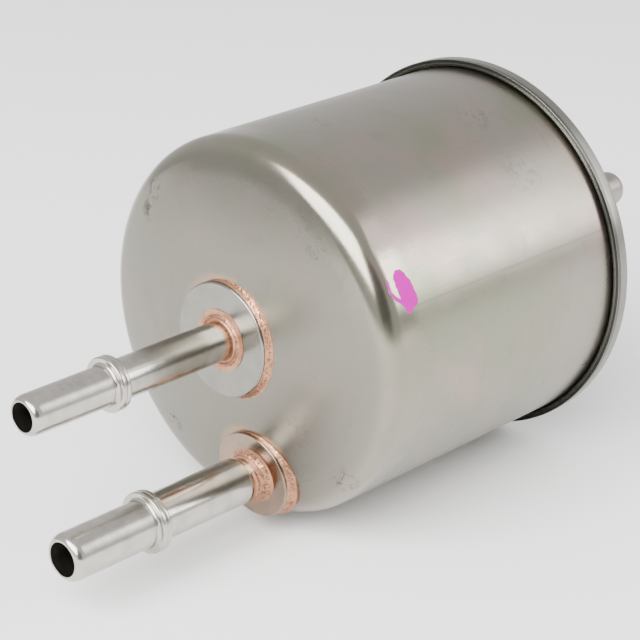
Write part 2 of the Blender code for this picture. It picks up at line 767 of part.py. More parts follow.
def make_cap(name, front, rear, skirt_end, hub_hole, parent, group, material):
    """End cap of the element: a plate with a skirt outside and one round the core's inside."""
    plate_near = rear if skirt_end < front else front
    plate_far = front if skirt_end < front else rear
    outline = [
        (CAP_RADIUS, plate_near),
        (CAP_RADIUS, skirt_end),
        (CAP_RADIUS - CAP_WALL, skirt_end),
        (CAP_RADIUS - CAP_WALL, plate_far),
        (HUB_RADIUS + CAP_WALL, plate_far),
        (HUB_RADIUS + CAP_WALL, skirt_end),
        (HUB_RADIUS, skirt_end),
        (HUB_RADIUS, plate_far),
        (hub_hole, plate_far),
        (hub_hole, plate_near),
    ]
    if skirt_end > front:
        outline.reverse()
    return turned(name, outline, parent, group, material, CAN_SIDES)


def make_grommet(name, bore, waist, lip, front, rear, parent, group, material):
    """Rubber ring with a groove that holds an end cap's edge."""
    outline = [
        (lip, rear + SNUG_GAP + GROMMET_WALL / 2.0),
        (lip, rear + SNUG_GAP),
        (waist, rear + SNUG_GAP),
        (waist, front - SNUG_GAP),
        (lip, front - SNUG_GAP),
        (lip, front - SNUG_GAP - GROMMET_WALL / 2.0),
        (bore, front - SNUG_GAP - GROMMET_WALL / 2.0),
        (bore, rear + SNUG_GAP + GROMMET_WALL / 2.0),
    ]
    return turned(name, outline, parent, group, material, SMALL_SIDES)


def make_core(low, high, parent, group, cutters, material):
    """Perforated centre tube of the element."""
    outer = CORE_RADIUS + CORE_WALL
    core = turned(
        "element_core", ring(CORE_RADIUS, outer, low, high), parent, group, material, CAN_SIDES
    )
    rows = max(1, int((high - low - CORE_HOLE_PITCH) / CORE_HOLE_PITCH))
    first = (low + high) / 2.0 - (rows - 1) * CORE_HOLE_PITCH / 2.0
    for row in range(rows):
        height = first + row * CORE_HOLE_PITCH
        for index in range(CORE_HOLES_ROUND // 2):
            angle = math.tau * (index + 0.5 * (row % 2)) / CORE_HOLES_ROUND
            name = "core_drill_%d_%d" % (row, index)
            cut(core, radial_drill(name, CORE_HOLE_RADIUS, outer, angle, height, parent, cutters))
    return core


def make_paper(low, high, parent, group, material):
    """Pleated paper: one folded sheet, made as a flat star with a thickness."""
    curve = bpy.data.curves.new("pleated_element", "CURVE")
    curve.dimensions = "2D"
    curve.fill_mode = "BOTH"
    curve.extrude = (high - low) / 2.0
    for peak, valley in (
        (PAPER_OUTER, PAPER_INNER + PLEAT_WALL),
        (PAPER_OUTER - PLEAT_WALL, PAPER_INNER),
    ):
        spline = curve.splines.new("POLY")
        spline.points.add(2 * PLEAT_COUNT - 1)
        for index in range(2 * PLEAT_COUNT):
            angle = math.pi * index / PLEAT_COUNT
            radius = valley if index % 2 else peak
            spline.points[index].co = (radius * math.cos(angle), radius * math.sin(angle), 0.0, 1.0)
        spline.use_cyclic_u = True
    curve.materials.append(material)
    paper = bpy.data.objects.new("pleated_element", curve)
    group.objects.link(paper)
    return carried(paper, parent, (0.0, 0.0, (low + high) / 2.0))


def make_finishes():
    """Colours and surfaces of the pieces."""
    return {
        "can": finish("drawn_steel", (0.56, 0.53, 0.49), 0.30, 1.0),
        "cover": finish("cover_steel", (0.58, 0.57, 0.54), 0.30, 1.0),
        "spigot": finish("tube_steel", (0.62, 0.59, 0.55), 0.22, 1.0),
        "boss": finish("boss_steel", (0.56, 0.54, 0.51), 0.28, 1.0),
        "braze": finish("braze_copper", (0.72, 0.40, 0.26), 0.42, 1.0),
        "gasket": finish("sealing_compound", (0.05, 0.05, 0.05), 0.70, 0.0),
        "paper": finish("filter_paper", (0.80, 0.70, 0.48), 0.90, 0.0),
        "cap": finish("cap_steel", (0.66, 0.66, 0.64), 0.35, 1.0),
        "core": finish("core_steel", (0.62, 0.62, 0.61), 0.38, 1.0),
        "rubber": finish("seal_rubber", (0.03, 0.03, 0.03), 0.60, 0.0),
        "spring": finish("spring_steel", (0.45, 0.45, 0.46), 0.30, 1.0),
        "regulator": finish("regulator_steel", (0.70, 0.66, 0.52), 0.32, 1.0),
        "diaphragm": finish("diaphragm_fabric", (0.18, 0.12, 0.08), 0.75, 0.0),
        "valve": finish("valve_brass", (0.78, 0.62, 0.32), 0.28, 1.0),
        "ball": finish("ball_steel", (0.75, 0.75, 0.76), 0.08, 1.0),
        "screen": finish("screen_mesh", (0.85, 0.84, 0.80), 0.60, 0.0),
    }


def make_housing(axis, group, cutters, finishes):
    """Can, cover, seam gasket and the three ports."""
    can = make_can(axis, group, finishes["can"])
    make_cover(axis, group, finishes["cover"])
    make_seam_gasket(axis, group, finishes["gasket"])
    to_front = Matrix.Rotation(math.pi / 2.0, 4, "X")
    to_rear = Matrix.Rotation(-math.pi / 2.0, 4, "X")
    make_port(RETURN_PORT, (0.0, DOME_APEX, 0.0), to_front, DOME_RADIUS, group, finishes)
    make_port(OUTLET_PORT, (0.0, COVER_CROWN, 0.0), to_rear, COVER_DOME_RADIUS, group, finishes)
    across = math.sin(INLET_CLOCK)
    down = -math.cos(INLET_CLOCK)
    place = (INLET_OFFSET * across, INLET_SEAT, INLET_OFFSET * down)
    seat = make_port(INLET_PORT, place, to_front, DOME_RADIUS, group, finishes)
    lean_axis = Vector((-down, across, 0.0))
    envelope = make_envelope(axis, cutters)
    lean_boss(INLET_PORT, seat, lean_axis, envelope, can, group, cutters)


def make_element(axis, group, cutters, finishes):
    """Pleated paper on its core, the end caps, the two grommets and the spring behind."""
    plate_front = ELEMENT_FRONT + CAP_WALL
    plate_rear = ELEMENT_REAR - CAP_WALL
    low = plate_front + FIT_GAP
    high = plate_rear - FIT_GAP
    make_core(low, high, axis, group, cutters, finishes["core"])
    make_paper(low, high, axis, group, finishes["paper"])
    make_cap(
        "element_front_cap", ELEMENT_FRONT, plate_front, plate_front + CAP_SKIRT,
        FRONT_GROMMET_RADIUS + SNUG_GAP, axis, group, finishes["cap"],
    )
    make_cap(
        "element_rear_cap", plate_rear, ELEMENT_REAR, plate_rear - CAP_SKIRT,
        REAR_GROMMET_RADIUS + SNUG_GAP, axis, group, finishes["cap"],
    )
    make_grommet(
        "front_grommet", SPRING_CUP_RADIUS + REG_WALL + FIT_GAP, FRONT_GROMMET_RADIUS,
        FRONT_GROMMET_RADIUS + GROMMET_LIP, ELEMENT_FRONT, plate_front, axis, group,
        finishes["rubber"],
    )
    make_grommet(
        "rear_grommet", OUTLET_PORT.tube_radius + FIT_GAP, REAR_GROMMET_RADIUS,
        REAR_GROMMET_RADIUS + GROMMET_LIP, plate_rear, ELEMENT_REAR, axis, group,
        finishes["rubber"],
    )
    under_cover = cover_surface(-COVER_WALL, ELEMENT_SPRING_RADIUS, ELEMENT_SPRING_RADIUS)[0][1]
    coil(
        "element_spring", ELEMENT_SPRING_RADIUS, ELEMENT_SPRING_WIRE, ELEMENT_REAR + FIT_GAP,
        under_cover - 2.0 * FIT_GAP, ELEMENT_SPRING_TURNS, axis, group, finishes["spring"],
    )


def make_regulator(axis, group, cutters, finishes):
    """Pressure regulator: two cups, the diaphragm with its valve, spring, ball and seals."""
    make_regulator_cover(axis, group, finishes["regulator"])
    make_regulator_body(axis, group, cutters, finishes["regulator"])
    make_screen(axis, group, finishes["screen"])
    make_o_ring(axis, group, finishes["rubber"])
    make_diaphragm(axis, group, finishes["diaphragm"])
    make_valve_carrier(axis, group, finishes["valve"])
    make_spring_seat(axis, group, finishes["cap"])
    make_ball(axis, group, finishes["ball"])
    make_ball_holder(axis, group, finishes["valve"])
    middle = (SHANK_RADIUS + SPRING_SEAT_RADIUS - SPRING_SEAT_WALL) / 2.0
    coil(
        "regulator_spring", middle, SPRING_WIRE_RADIUS, PLATE_REAR + FIT_GAP,
        SPRING_SEAT_FRONT - FIT_GAP, SPRING_TURNS, axis, group, finishes["spring"],
    )


def main():
    """Build the whole filter."""
    clear_scene()
    group = collection("fuel_filter")
    cutters = collection("cutters")
    axis = frame("can_axis", (0.0, 0.0, 0.0), Matrix.Rotation(-math.pi / 2.0, 4, "X"), group)
    finishes = make_finishes()
    make_housing(axis, group, cutters, finishes)
    make_element(axis, group, cutters, finishes)
    make_regulator(axis, group, cutters, finishes)
    bpy.context.view_layer.update()


main()
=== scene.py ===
"""Looks of an in-line fuel filter with a built-in pressure regulator.

Units are metres. The can lies along the Y axis: the domed end with the return and inlet spigots
faces -Y, and the rolled seam with the rear cover faces +Y.

An outline is a list of (radius, height) points that is turned round its piece's own axis. It
runs down the outer side first, so that the faces point outwards.
"""

import logging
import math
from collections.abc import Mapping, Sequence
from dataclasses import dataclass
from enum import Enum
from functools import reduce

import bmesh
import bpy
from mathutils import Matrix, Vector


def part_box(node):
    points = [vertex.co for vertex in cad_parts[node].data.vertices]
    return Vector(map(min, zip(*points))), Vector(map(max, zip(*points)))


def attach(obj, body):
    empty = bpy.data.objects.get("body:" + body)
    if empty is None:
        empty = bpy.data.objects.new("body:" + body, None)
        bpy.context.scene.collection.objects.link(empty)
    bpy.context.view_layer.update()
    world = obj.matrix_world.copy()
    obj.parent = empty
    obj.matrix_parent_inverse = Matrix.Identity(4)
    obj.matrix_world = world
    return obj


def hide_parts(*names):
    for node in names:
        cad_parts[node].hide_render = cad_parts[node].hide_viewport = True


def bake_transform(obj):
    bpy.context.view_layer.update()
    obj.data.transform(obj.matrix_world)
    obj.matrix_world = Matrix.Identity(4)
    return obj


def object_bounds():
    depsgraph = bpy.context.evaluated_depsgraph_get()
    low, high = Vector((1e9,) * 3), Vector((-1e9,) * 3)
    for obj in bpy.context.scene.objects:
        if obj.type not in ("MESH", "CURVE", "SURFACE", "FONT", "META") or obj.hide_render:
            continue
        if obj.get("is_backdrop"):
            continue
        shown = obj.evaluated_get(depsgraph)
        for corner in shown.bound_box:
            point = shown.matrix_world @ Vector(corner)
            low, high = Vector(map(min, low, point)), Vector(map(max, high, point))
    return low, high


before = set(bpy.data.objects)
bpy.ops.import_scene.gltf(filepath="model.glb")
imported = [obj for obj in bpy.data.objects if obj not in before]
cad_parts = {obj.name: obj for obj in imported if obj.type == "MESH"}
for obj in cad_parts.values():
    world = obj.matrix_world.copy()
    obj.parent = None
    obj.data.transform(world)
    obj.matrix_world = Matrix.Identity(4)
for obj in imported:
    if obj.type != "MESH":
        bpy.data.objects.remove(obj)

LOG = logging.getLogger("fuel_filter")

Point = tuple[float, float]
Triple = tuple[float, float, float]

ORIGIN: Triple = (0.0, 0.0, 0.0)
UNSCALED: Triple = (1.0, 1.0, 1.0)
ALONG_CAN: Triple = (0.0, 1.0, 0.0)
RING_SCALE = 5200.0  # lathe rings in a metre, as a noise scale
HOLE_RADIUS = 0.0043  # hole in an end wall, under its boss
TINY_ROUND = 0.0002  # rounding of a sheet's cut edge
INLET_OFFSET = 0.0283  # inlet's distance from the can's axis
INLET_CLOCK = 11.6  # degrees that the inlet stands round from straight down
INLET_LEAN = 6.5  # degrees that the inlet's disc leans, to lie on the dome


class Body(Enum):
    """Moving bodies of the filter."""

    HOUSING = "housing"
    VALVE = "valve"


class Facing(Enum):
    """End of the can that a turned piece's own axis points out of."""

    FRONT = math.pi / 2.0
    REAR = -math.pi / 2.0


# ---------------------------------------------------------------------------------------------
# Node trees
# ---------------------------------------------------------------------------------------------


class Value:
    """Output socket of a node tree that takes part in arithmetic."""

    def __init__(self, nodes: "Nodes", socket: bpy.types.NodeSocket) -> None:
        """Keep the tree and the socket."""
        self.nodes = nodes
        self.socket = socket

    def _math(self, operation: str, *operands: "Value | float") -> "Value":
        """Add a Math node.

        Args:
            operation: the node's operation.
            operands: values or numbers, in the node's order.

        Returns:
            The node's result.
        """
        settings = {"operation": operation}
        return self.nodes.value("ShaderNodeMath", settings, dict(enumerate(operands)))

    def __add__(self, other: "Value | float") -> "Value":
        """Return the sum."""
        return self._math("ADD", self, other)

    def __radd__(self, other: float) -> "Value":
        """Return the sum with a number on the left."""
        return self._math("ADD", other, self)

    def __sub__(self, other: "Value | float") -> "Value":
        """Return the difference."""
        return self._math("SUBTRACT", self, other)

    def __rsub__(self, other: float) -> "Value":
        """Return the difference from a number."""
        return self._math("SUBTRACT", other, self)

    def __mul__(self, other: "Value | float") -> "Value":
        """Return the product."""
        return self._math("MULTIPLY", self, other)

    def __rmul__(self, other: float) -> "Value":
        """Return the product with a number on the left."""
        return self._math("MULTIPLY", other, self)

    def __truediv__(self, other: "Value | float") -> "Value":
        """Return the quotient."""
        return self._math("DIVIDE", self, other)

    def __rtruediv__(self, other: float) -> "Value":
        """Return a number divided by this value."""
        return self._math("DIVIDE", other, self)

    def floor(self) -> "Value":
        """Return the whole part."""
        return self._math("FLOOR", self)

    def sine(self) -> "Value":
        """Return the sine of an angle in radians."""
        return self._math("SINE", self)

    def cosine(self) -> "Value":
        """Return the cosine of an angle in radians."""
        return self._math("COSINE", self)

    def either(self, other: "Value | float") -> "Value":
        """Return the larger of two values."""
        return self._math("MAXIMUM", self, other)

    def least(self, other: "Value | float") -> "Value":
        """Return the smaller of two values."""
        return self._math("MINIMUM", self, other)

    def step(self, low: float, high: float) -> "Value":
        """Return a smooth step from 0 at low to 1 at high, which may be the smaller of the two."""
        settings = {"interpolation_type": "SMOOTHSTEP"}
        return self.nodes.value("ShaderNodeMapRange", settings, {0: self, 1: low, 2: high})


Link = Value | bpy.types.NodeSocket | float | int | bool | Sequence[float] | bpy.types.Material


class Nodes:
    """Node tree that is built one node at a time."""

    def __init__(self, tree: bpy.types.NodeTree) -> None:
        """Keep the tree."""
        self.tree = tree

    def node(
        self,
        kind: str,
        settings: Mapping[str, object] | None = None,
        inputs: Mapping[int | str, Link] | None = None,
    ) -> bpy.types.Node:
        """Add a node.

        Args:
            kind: the node's type.
            settings: its properties, which are set first.
            inputs: values or links of its sockets, by number or name.

        Returns:
            The node.
        """
        node = self.tree.nodes.new(kind)
        for name, setting in (settings or {}).items():
            setattr(node, name, setting)
        for key, link in (inputs or {}).items():
            self.connect(node.inputs[key], link)
        return node

    def connect(self, socket: bpy.types.NodeSocket, link: Link) -> None:
        """Link a socket, or set its value."""
        if isinstance(link, Value):
            self.tree.links.new(link.socket, socket)
        elif isinstance(link, bpy.types.NodeSocket):
            self.tree.links.new(link, socket)
        else:
            socket.default_value = link

    def value(
        self,
        kind: str,
        settings: Mapping[str, object] | None = None,
        inputs: Mapping[int | str, Link] | None = None,
        output: int | str = 0,
    ) -> Value:
        """Add a node and return one of its outputs as a value."""
        return Value(self, self.node(kind, settings, inputs).outputs[output])

    def vector(self, operation: str, *operands: Link) -> bpy.types.NodeSocket:
        """Add a Vector Math node and return its vector."""
        settings = {"operation": operation}
        return self.node("ShaderNodeVectorMath", settings, dict(enumerate(operands))).outputs[0]


class Shader(Nodes):
    """Material's node tree with a Principled shader, on Object coordinates."""

    def __init__(self, name: str) -> None:
        """Make the material and find its shader.

        Args:
            name: the material's name.
        """
        self.material = bpy.data.materials.new(name)
        self.material.use_nodes = True
        super().__init__(self.material.node_tree)
        self.surface = self.tree.nodes["Principled BSDF"]
        self.place = self.node("ShaderNodeTexCoord").outputs["Object"]

    def put(self, socket: str, link: Link) -> None:
        """Link or set one of the shader's sockets."""
        self.connect(self.surface.inputs[socket], link)

    def scaled(self, scale: Triple, origin: Triple = ORIGIN) -> bpy.types.NodeSocket:
        """Object coordinates from an origin, stretched along each axis."""
        moved = self.vector("SUBTRACT", self.place, origin)
        return self.vector("MULTIPLY", moved, scale)

    def noise(
        self,
        scale: float,
        detail: float = 2.0,
        roughness: float = 0.5,
        place: bpy.types.NodeSocket | None = None,
        distortion: float = 0.0,
    ) -> Value:
        """Noise between 0 and 1.

        Args:
            scale: waves in a metre, or in a unit of the stretched place.
            detail: octaves.
            roughness: share that each octave adds.
            place: coordinates, or None for the object's own.
            distortion: how far the pattern is pulled about.

        Returns:
            The noise's value.
        """
        inputs: dict[int | str, Link] = {
            "Vector": place or self.place,
            "Scale": scale,
            "Detail": detail,
            "Roughness": roughness,
            "Distortion": distortion,
        }
        return self.value("ShaderNodeTexNoise", {}, inputs)

    def mix(self, share: Link, first: Link, second: Link) -> bpy.types.NodeSocket:
        """Mix two colours."""
        inputs = {0: share, 6: self._colour(first), 7: self._colour(second)}
        return self.node("ShaderNodeMix", {"data_type": "RGBA"}, inputs).outputs[2]

    def near(self, centre: Triple, reach: float) -> Value:
        """Mask that is 1 at a point and falls to 0 at a distance from it.

        Args:
            centre: the point.
            reach: the distance.

        Returns:
            The mask.
        """
        settings = {"operation": "DISTANCE"}
        gap = self.value("ShaderNodeVectorMath", settings, {0: self.place, 1: centre}, "Value")
        return gap.step(reach, 0.0)

    def off_axis(self, centre: Triple) -> Value:
        """Distance from a line along Y through a point."""
        flat = self.scaled((1.0, 0.0, 1.0), centre)
        return self.value("ShaderNodeVectorMath", {"operation": "LENGTH"}, {0: flat}, "Value")

    def dot(self, vector: Link, direction: Triple) -> Value:
        """Length of a vector along a direction."""
        settings = {"operation": "DOT_PRODUCT"}
        return self.value("ShaderNodeVectorMath", settings, {0: vector, 1: direction}, "Value")

    def off_stroke(self, start: Triple, end: Triple) -> Value:
        """Distance from a straight stroke between two points.

        Args:
            start: the stroke's first end.
            end: its other end.

        Returns:
            The distance, in metres.
        """
        line = Vector(end) - Vector(start)
        moved = self.scaled(UNSCALED, start)
        share = (self.dot(moved, tuple(line)) / line.length_squared).either(0.0).least(1.0)
        foot = self.node(
            "ShaderNodeVectorMath", {"operation": "SCALE"}, {0: tuple(line), "Scale": share}
        ).outputs[0]
        settings = {"operation": "DISTANCE"}
        return self.value("ShaderNodeVectorMath", settings, {0: moved, 1: foot}, "Value")

    def bump(self, height: Value, depth: float) -> None:
        """Raise the surface by a height from 0 to 1.

        Args:
            height: the relief.
            depth: how deep it is, in metres.
        """
        relief = self.node(
            "ShaderNodeBump", {}, {"Strength": 1.0, "Distance": depth, "Height": height}
        )
        self.put("Normal", relief.outputs["Normal"])

    @staticmethod
    def _colour(link: Link) -> Link:
        """Give a plain colour its alpha."""
        if isinstance(link, tuple) and len(link) == 3:
            return (*link, 1.0)
        return link


class Builder(Nodes):
    """Geometry Nodes tree with named inputs, ready to be put on an object."""

    KINDS = {
        float: "NodeSocketFloat",
        int: "NodeSocketInt",
        bpy.types.Material: "NodeSocketMaterial",
    }

    def __init__(self, name: str, inputs: Mapping[str, type]) -> None:
        """Make the tree and its sockets.

        Args:
            name: the tree's name.
            inputs: the named inputs and their types.
        """
        tree = bpy.data.node_groups.new(name, "GeometryNodeTree")
        tree.is_modifier = True
        face = tree.interface
        face.new_socket("Geometry", in_out="INPUT", socket_type="NodeSocketGeometry")
        for label, kind in inputs.items():
            face.new_socket(label, in_out="INPUT", socket_type=self.KINDS[kind])
        face.new_socket("Geometry", in_out="OUTPUT", socket_type="NodeSocketGeometry")
        super().__init__(tree)
        self.entry = self.node("NodeGroupInput")

    def given(self, label: str) -> Value:
        """Return one of the tree's inputs."""
        return Value(self, self.entry.outputs[label])

    def shape(
        self,
        kind: str,
        settings: Mapping[str, object] | None = None,
        inputs: Mapping[int | str, Link] | None = None,
        output: int | str = 0,
    ) -> bpy.types.NodeSocket:
        """Add a node and return one of its outputs as it is."""
        return self.node(kind, settings, inputs).outputs[output]

    def end(self, geometry: bpy.types.NodeSocket, smooth: bool) -> None:
        """Close the tree: realize instances, shade and set the material.

        Args:
            geometry: the finished shape.
            smooth: whether its faces are shaded smooth.
        """
        made = self.shape("GeometryNodeRealizeInstances", {}, {0: geometry})
        shaded = self.shape(
            "GeometryNodeSetShadeSmooth", {}, {"Geometry": made, "Shade Smooth": smooth}
        )
        dressed = self.shape(
            "GeometryNodeSetMaterial", {}, {"Geometry": shaded, "Material": self.given("Finish")}
        )
        self.node("NodeGroupOutput", {}, {0: dressed})

    def build(
        self, name: str, start: bpy.types.Mesh, sizes: Mapping[str, object], place: Matrix
    ) -> bpy.types.Object:
        """Run the tree on a mesh and turn the result into a plain object.

        Args:
            name: the new object's name.
            start: mesh that the tree starts from.
            sizes: values of the named inputs.
            place: where the piece goes, which is applied to its mesh.

        Returns:
            The object, at the origin.
        """
        thing = bpy.data.objects.new(name, start)
        bpy.context.scene.collection.objects.link(thing)
        modifier = thing.modifiers.new(name, "NODES")
        modifier.node_group = self.tree
        for item in self.tree.interface.items_tree:
            if item.in_out == "INPUT" and item.name in sizes:
                modifier[item.identifier] = sizes[item.name]
        graph = bpy.context.evaluated_depsgraph_get()
        made = bpy.data.meshes.new_from_object(thing.evaluated_get(graph), depsgraph=graph)
        thing.modifiers.clear()
        thing.data = made
        bpy.data.meshes.remove(start)
        made.name = name
        made.transform(place)
        face_outwards(made)
        return thing


def face_outwards(mesh: bpy.types.Mesh) -> None:
    """Point a closed mesh's faces outwards.

    Args:
        mesh: the mesh, which is changed in place.
    """
    shape = bmesh.new()
    shape.from_mesh(mesh)
    bmesh.ops.recalc_face_normals(shape, faces=shape.faces)
    if shape.calc_volume(signed=True) < 0.0:
        bmesh.ops.reverse_faces(shape, faces=shape.faces)
    shape.to_mesh(mesh)
    shape.free()


def settle(
    thing: bpy.types.Object, nodes: Sequence[str] = (), body: Body = Body.HOUSING
) -> bpy.types.Object:
    """Put a finished piece on its body and hide the CAD nodes that it stands for.

    Args:
        thing: the piece, at the origin.
        nodes: CAD nodes that it stands for.
        body: the body that it rides on.

    Returns:
        The piece.
    """
    if nodes:
        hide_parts(*nodes)
    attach(thing, body.value)
    LOG.info("%s: %d faces, on %s", thing.name, len(thing.data.polygons), body.value)
    return thing


# ---------------------------------------------------------------------------------------------
# Outlines
# ---------------------------------------------------------------------------------------------


@dataclass(frozen=True)
class Bend:
    """Corner of an outline, and the radius that it is rounded with."""

    radius: float
    height: float
    rounding: float = 0.0


def rounded(bends: Sequence[Bend], turn: float = 12.0) -> list[Point]:
    """Round the corners of a closed outline.

    Args:
        bends: the corners.
        turn: largest turn from one point to the next on a rounded corner, in degrees.

    Returns:
        The outline's points, which end where they start.
    """
    count = len(bends)
    points: list[Point] = []
    for index, bend in enumerate(bends):
        here = Vector((bend.radius, bend.height))
        if bend.rounding <= 0.0:
            points.append((here.x, here.y))
            continue
        before = bends[index - 1]
        after = bends[(index + 1) % count]
        back = Vector((before.radius, before.height)) - here
        ahead = Vector((after.radius, after.height)) - here
        open_angle = back.angle(ahead)
        reach = bend.rounding / math.tan(open_angle / 2.0)
        reach = min(reach, 0.49 * back.length, 0.49 * ahead.length)
        size = reach * math.tan(open_angle / 2.0)
        middle = here + (back.normalized() + ahead.normalized()).normalized() * (
            size / math.sin(open_angle / 2.0)
        )
        start = here + back.normalized() * reach - middle
        end = here + ahead.normalized() * reach - middle
        sweep = start.angle_signed(end)
        steps = max(2, math.ceil(math.degrees(abs(sweep)) / turn))
        for step in range(steps + 1):
            angle = -sweep * step / steps
            turned_x = start.x * math.cos(angle) - start.y * math.sin(angle)
            turned_y = start.x * math.sin(angle) + start.y * math.cos(angle)
            points.append((middle.x + turned_x, middle.y + turned_y))
    points.append(points[0])
    return points


def arc(centre: Point, size: float, start: float, end: float, steps: int) -> list[Bend]:
    """Corners along an arc.

    Args:
        centre: the arc's middle, as radius and height.
        size: the arc's radius.
        start: first angle from straight down, towards the outside.
        end: last angle.
        steps: pieces that the arc is split into.

    Returns:
        The corners.
    """
    bends = []
    for step in range(steps + 1):
        angle = start + (end - start) * step / steps
        radius = centre[0] + size * math.sin(angle)
        bends.append(Bend(radius, centre[1] - size * math.cos(angle)))
    return bends


def spread(points: Sequence[Point], spacing: float) -> list[Point]:
    """Add points so that none is further than a spacing from the next.

    Args:
        points: the outline.
        spacing: the longest gap that is left.

    Returns:
        The points.
    """
    made = [points[0]]
    for first, last in zip(points, points[1:], strict=False):
        pieces = max(1, math.ceil(math.dist(first, last) / spacing))
        for piece in range(1, pieces + 1):
            share = piece / pieces
            made.append(
                (first[0] + (last[0] - first[0]) * share, first[1] + (last[1] - first[1]) * share)
            )
    return made


class Turner:
    """Turns outlines into plain pieces with a Geometry Nodes tree."""

    def __init__(self) -> None:
        """Build the tree."""
        sizes = {
            "Sides": int,
            "Grain Height": float,
            "Grain Size": float,
            "Seed": float,
            "Finish": bpy.types.Material,
        }
        tree = Builder("turned_piece", sizes)
        outline = tree.entry.outputs["Geometry"]
        rows = tree.value("GeometryNodeAttributeDomainSize", {}, {0: outline}, "Point Count")
        sheet = tree.shape(
            "GeometryNodeMeshGrid", {}, {2: tree.given("Sides") + 1.0, 3: rows}, "Mesh"
        )
        index = tree.value("GeometryNodeInputIndex")
        column = (index / rows + 0.0001).floor()
        row = index - column * rows
        angle = column * math.tau / tree.given("Sides")
        spot = tree.shape("GeometryNodeInputPosition")
        picked = tree.shape(
            "GeometryNodeSampleIndex",
            {"data_type": "FLOAT_VECTOR"},
            {"Geometry": outline, "Value": spot, "Index": row},
        )
        parts = tree.node("ShaderNodeSeparateXYZ", {}, {0: picked})
        radius = Value(tree, parts.outputs["X"])
        ring = tree.shape(
            "ShaderNodeCombineXYZ",
            {},
            {0: radius * angle.cosine(), 1: radius * angle.sine(), 2: parts.outputs["Z"]},
        )
        bent = tree.shape("GeometryNodeSetPosition", {}, {"Geometry": sheet, "Position": ring})
        closed = tree.shape("GeometryNodeMergeByDistance", {}, {"Geometry": bent, "Distance": 2e-6})
        grain = tree.value(
            "ShaderNodeTexNoise",
            {"noise_dimensions": "4D"},
            {
                "Vector": spot,
                "W": tree.given("Seed"),
                "Scale": 1.0 / tree.given("Grain Size"),
                "Detail": 3.0,
            },
        )
        lift = (grain - 0.5) * 2.0 * tree.given("Grain Height")
        push = tree.shape(
            "ShaderNodeVectorMath",
            {"operation": "SCALE"},
            {"Vector": tree.shape("GeometryNodeInputNormal"), "Scale": lift},
        )
        grained = tree.shape("GeometryNodeSetPosition", {}, {"Geometry": closed, "Offset": push})
        tree.end(grained, True)
        self.tree = tree

    def turn(
        self,
        name: str,
        outline: Sequence[Point],
        finish: bpy.types.Material,
        place: Matrix,
        sides: int = 96,
        grain: Triple = (0.0, 0.001, 0.0),
    ) -> bpy.types.Object:
        """Turn an outline round its axis.

        Args:
            name: the piece's name.
            outline: the points. A closed outline ends where it starts.
            finish: the material.
            place: where the piece's own axis goes.
            sides: sides all the way round.
            grain: height, size and seed of the surface's roughness.

        Returns:
            The piece, at the origin.
        """
        start = bpy.data.meshes.new(name)
        start.from_pydata([(radius, 0.0, height) for radius, height in outline], [], [])
        sizes = {
            "Sides": sides,
            "Grain Height": grain[0],
            "Grain Size": grain[1],
            "Seed": grain[2],
            "Finish": finish,
        }
        thing = self.tree.build(name, start, sizes, place)
        thing.data.set_sharp_from_angle(angle=math.radians(40.0))
        return thing


# ---------------------------------------------------------------------------------------------
# Finishes
# ---------------------------------------------------------------------------------------------


class Finish:
    """Procedural finish of a piece."""

    def make(self, name: str) -> bpy.types.Material:
        """Build the finish's material.

        Args:
            name: the material's name.

        Returns:
            The material.
        """
        shader = Shader(name)
        self.lay(shader)
        return shader.material

    def lay(self, shader: Shader) -> None:
        """Add the finish's nodes to a material."""
        raise NotImplementedError


@dataclass(frozen=True)
class Scuff:
    """Patch of small dark rub marks."""

    place: Triple
    reach: float
    depth: float


@dataclass(frozen=True)
class Stain:
    """Thin copper colour that ran out on the steel round a port."""

    axis: Triple
    radius: float
    reach: float
    towards: Triple


@dataclass(frozen=True)
class Stroke:
    """Stroke of marking paint between two points."""

    start: Triple
    end: Triple
    half_width: float


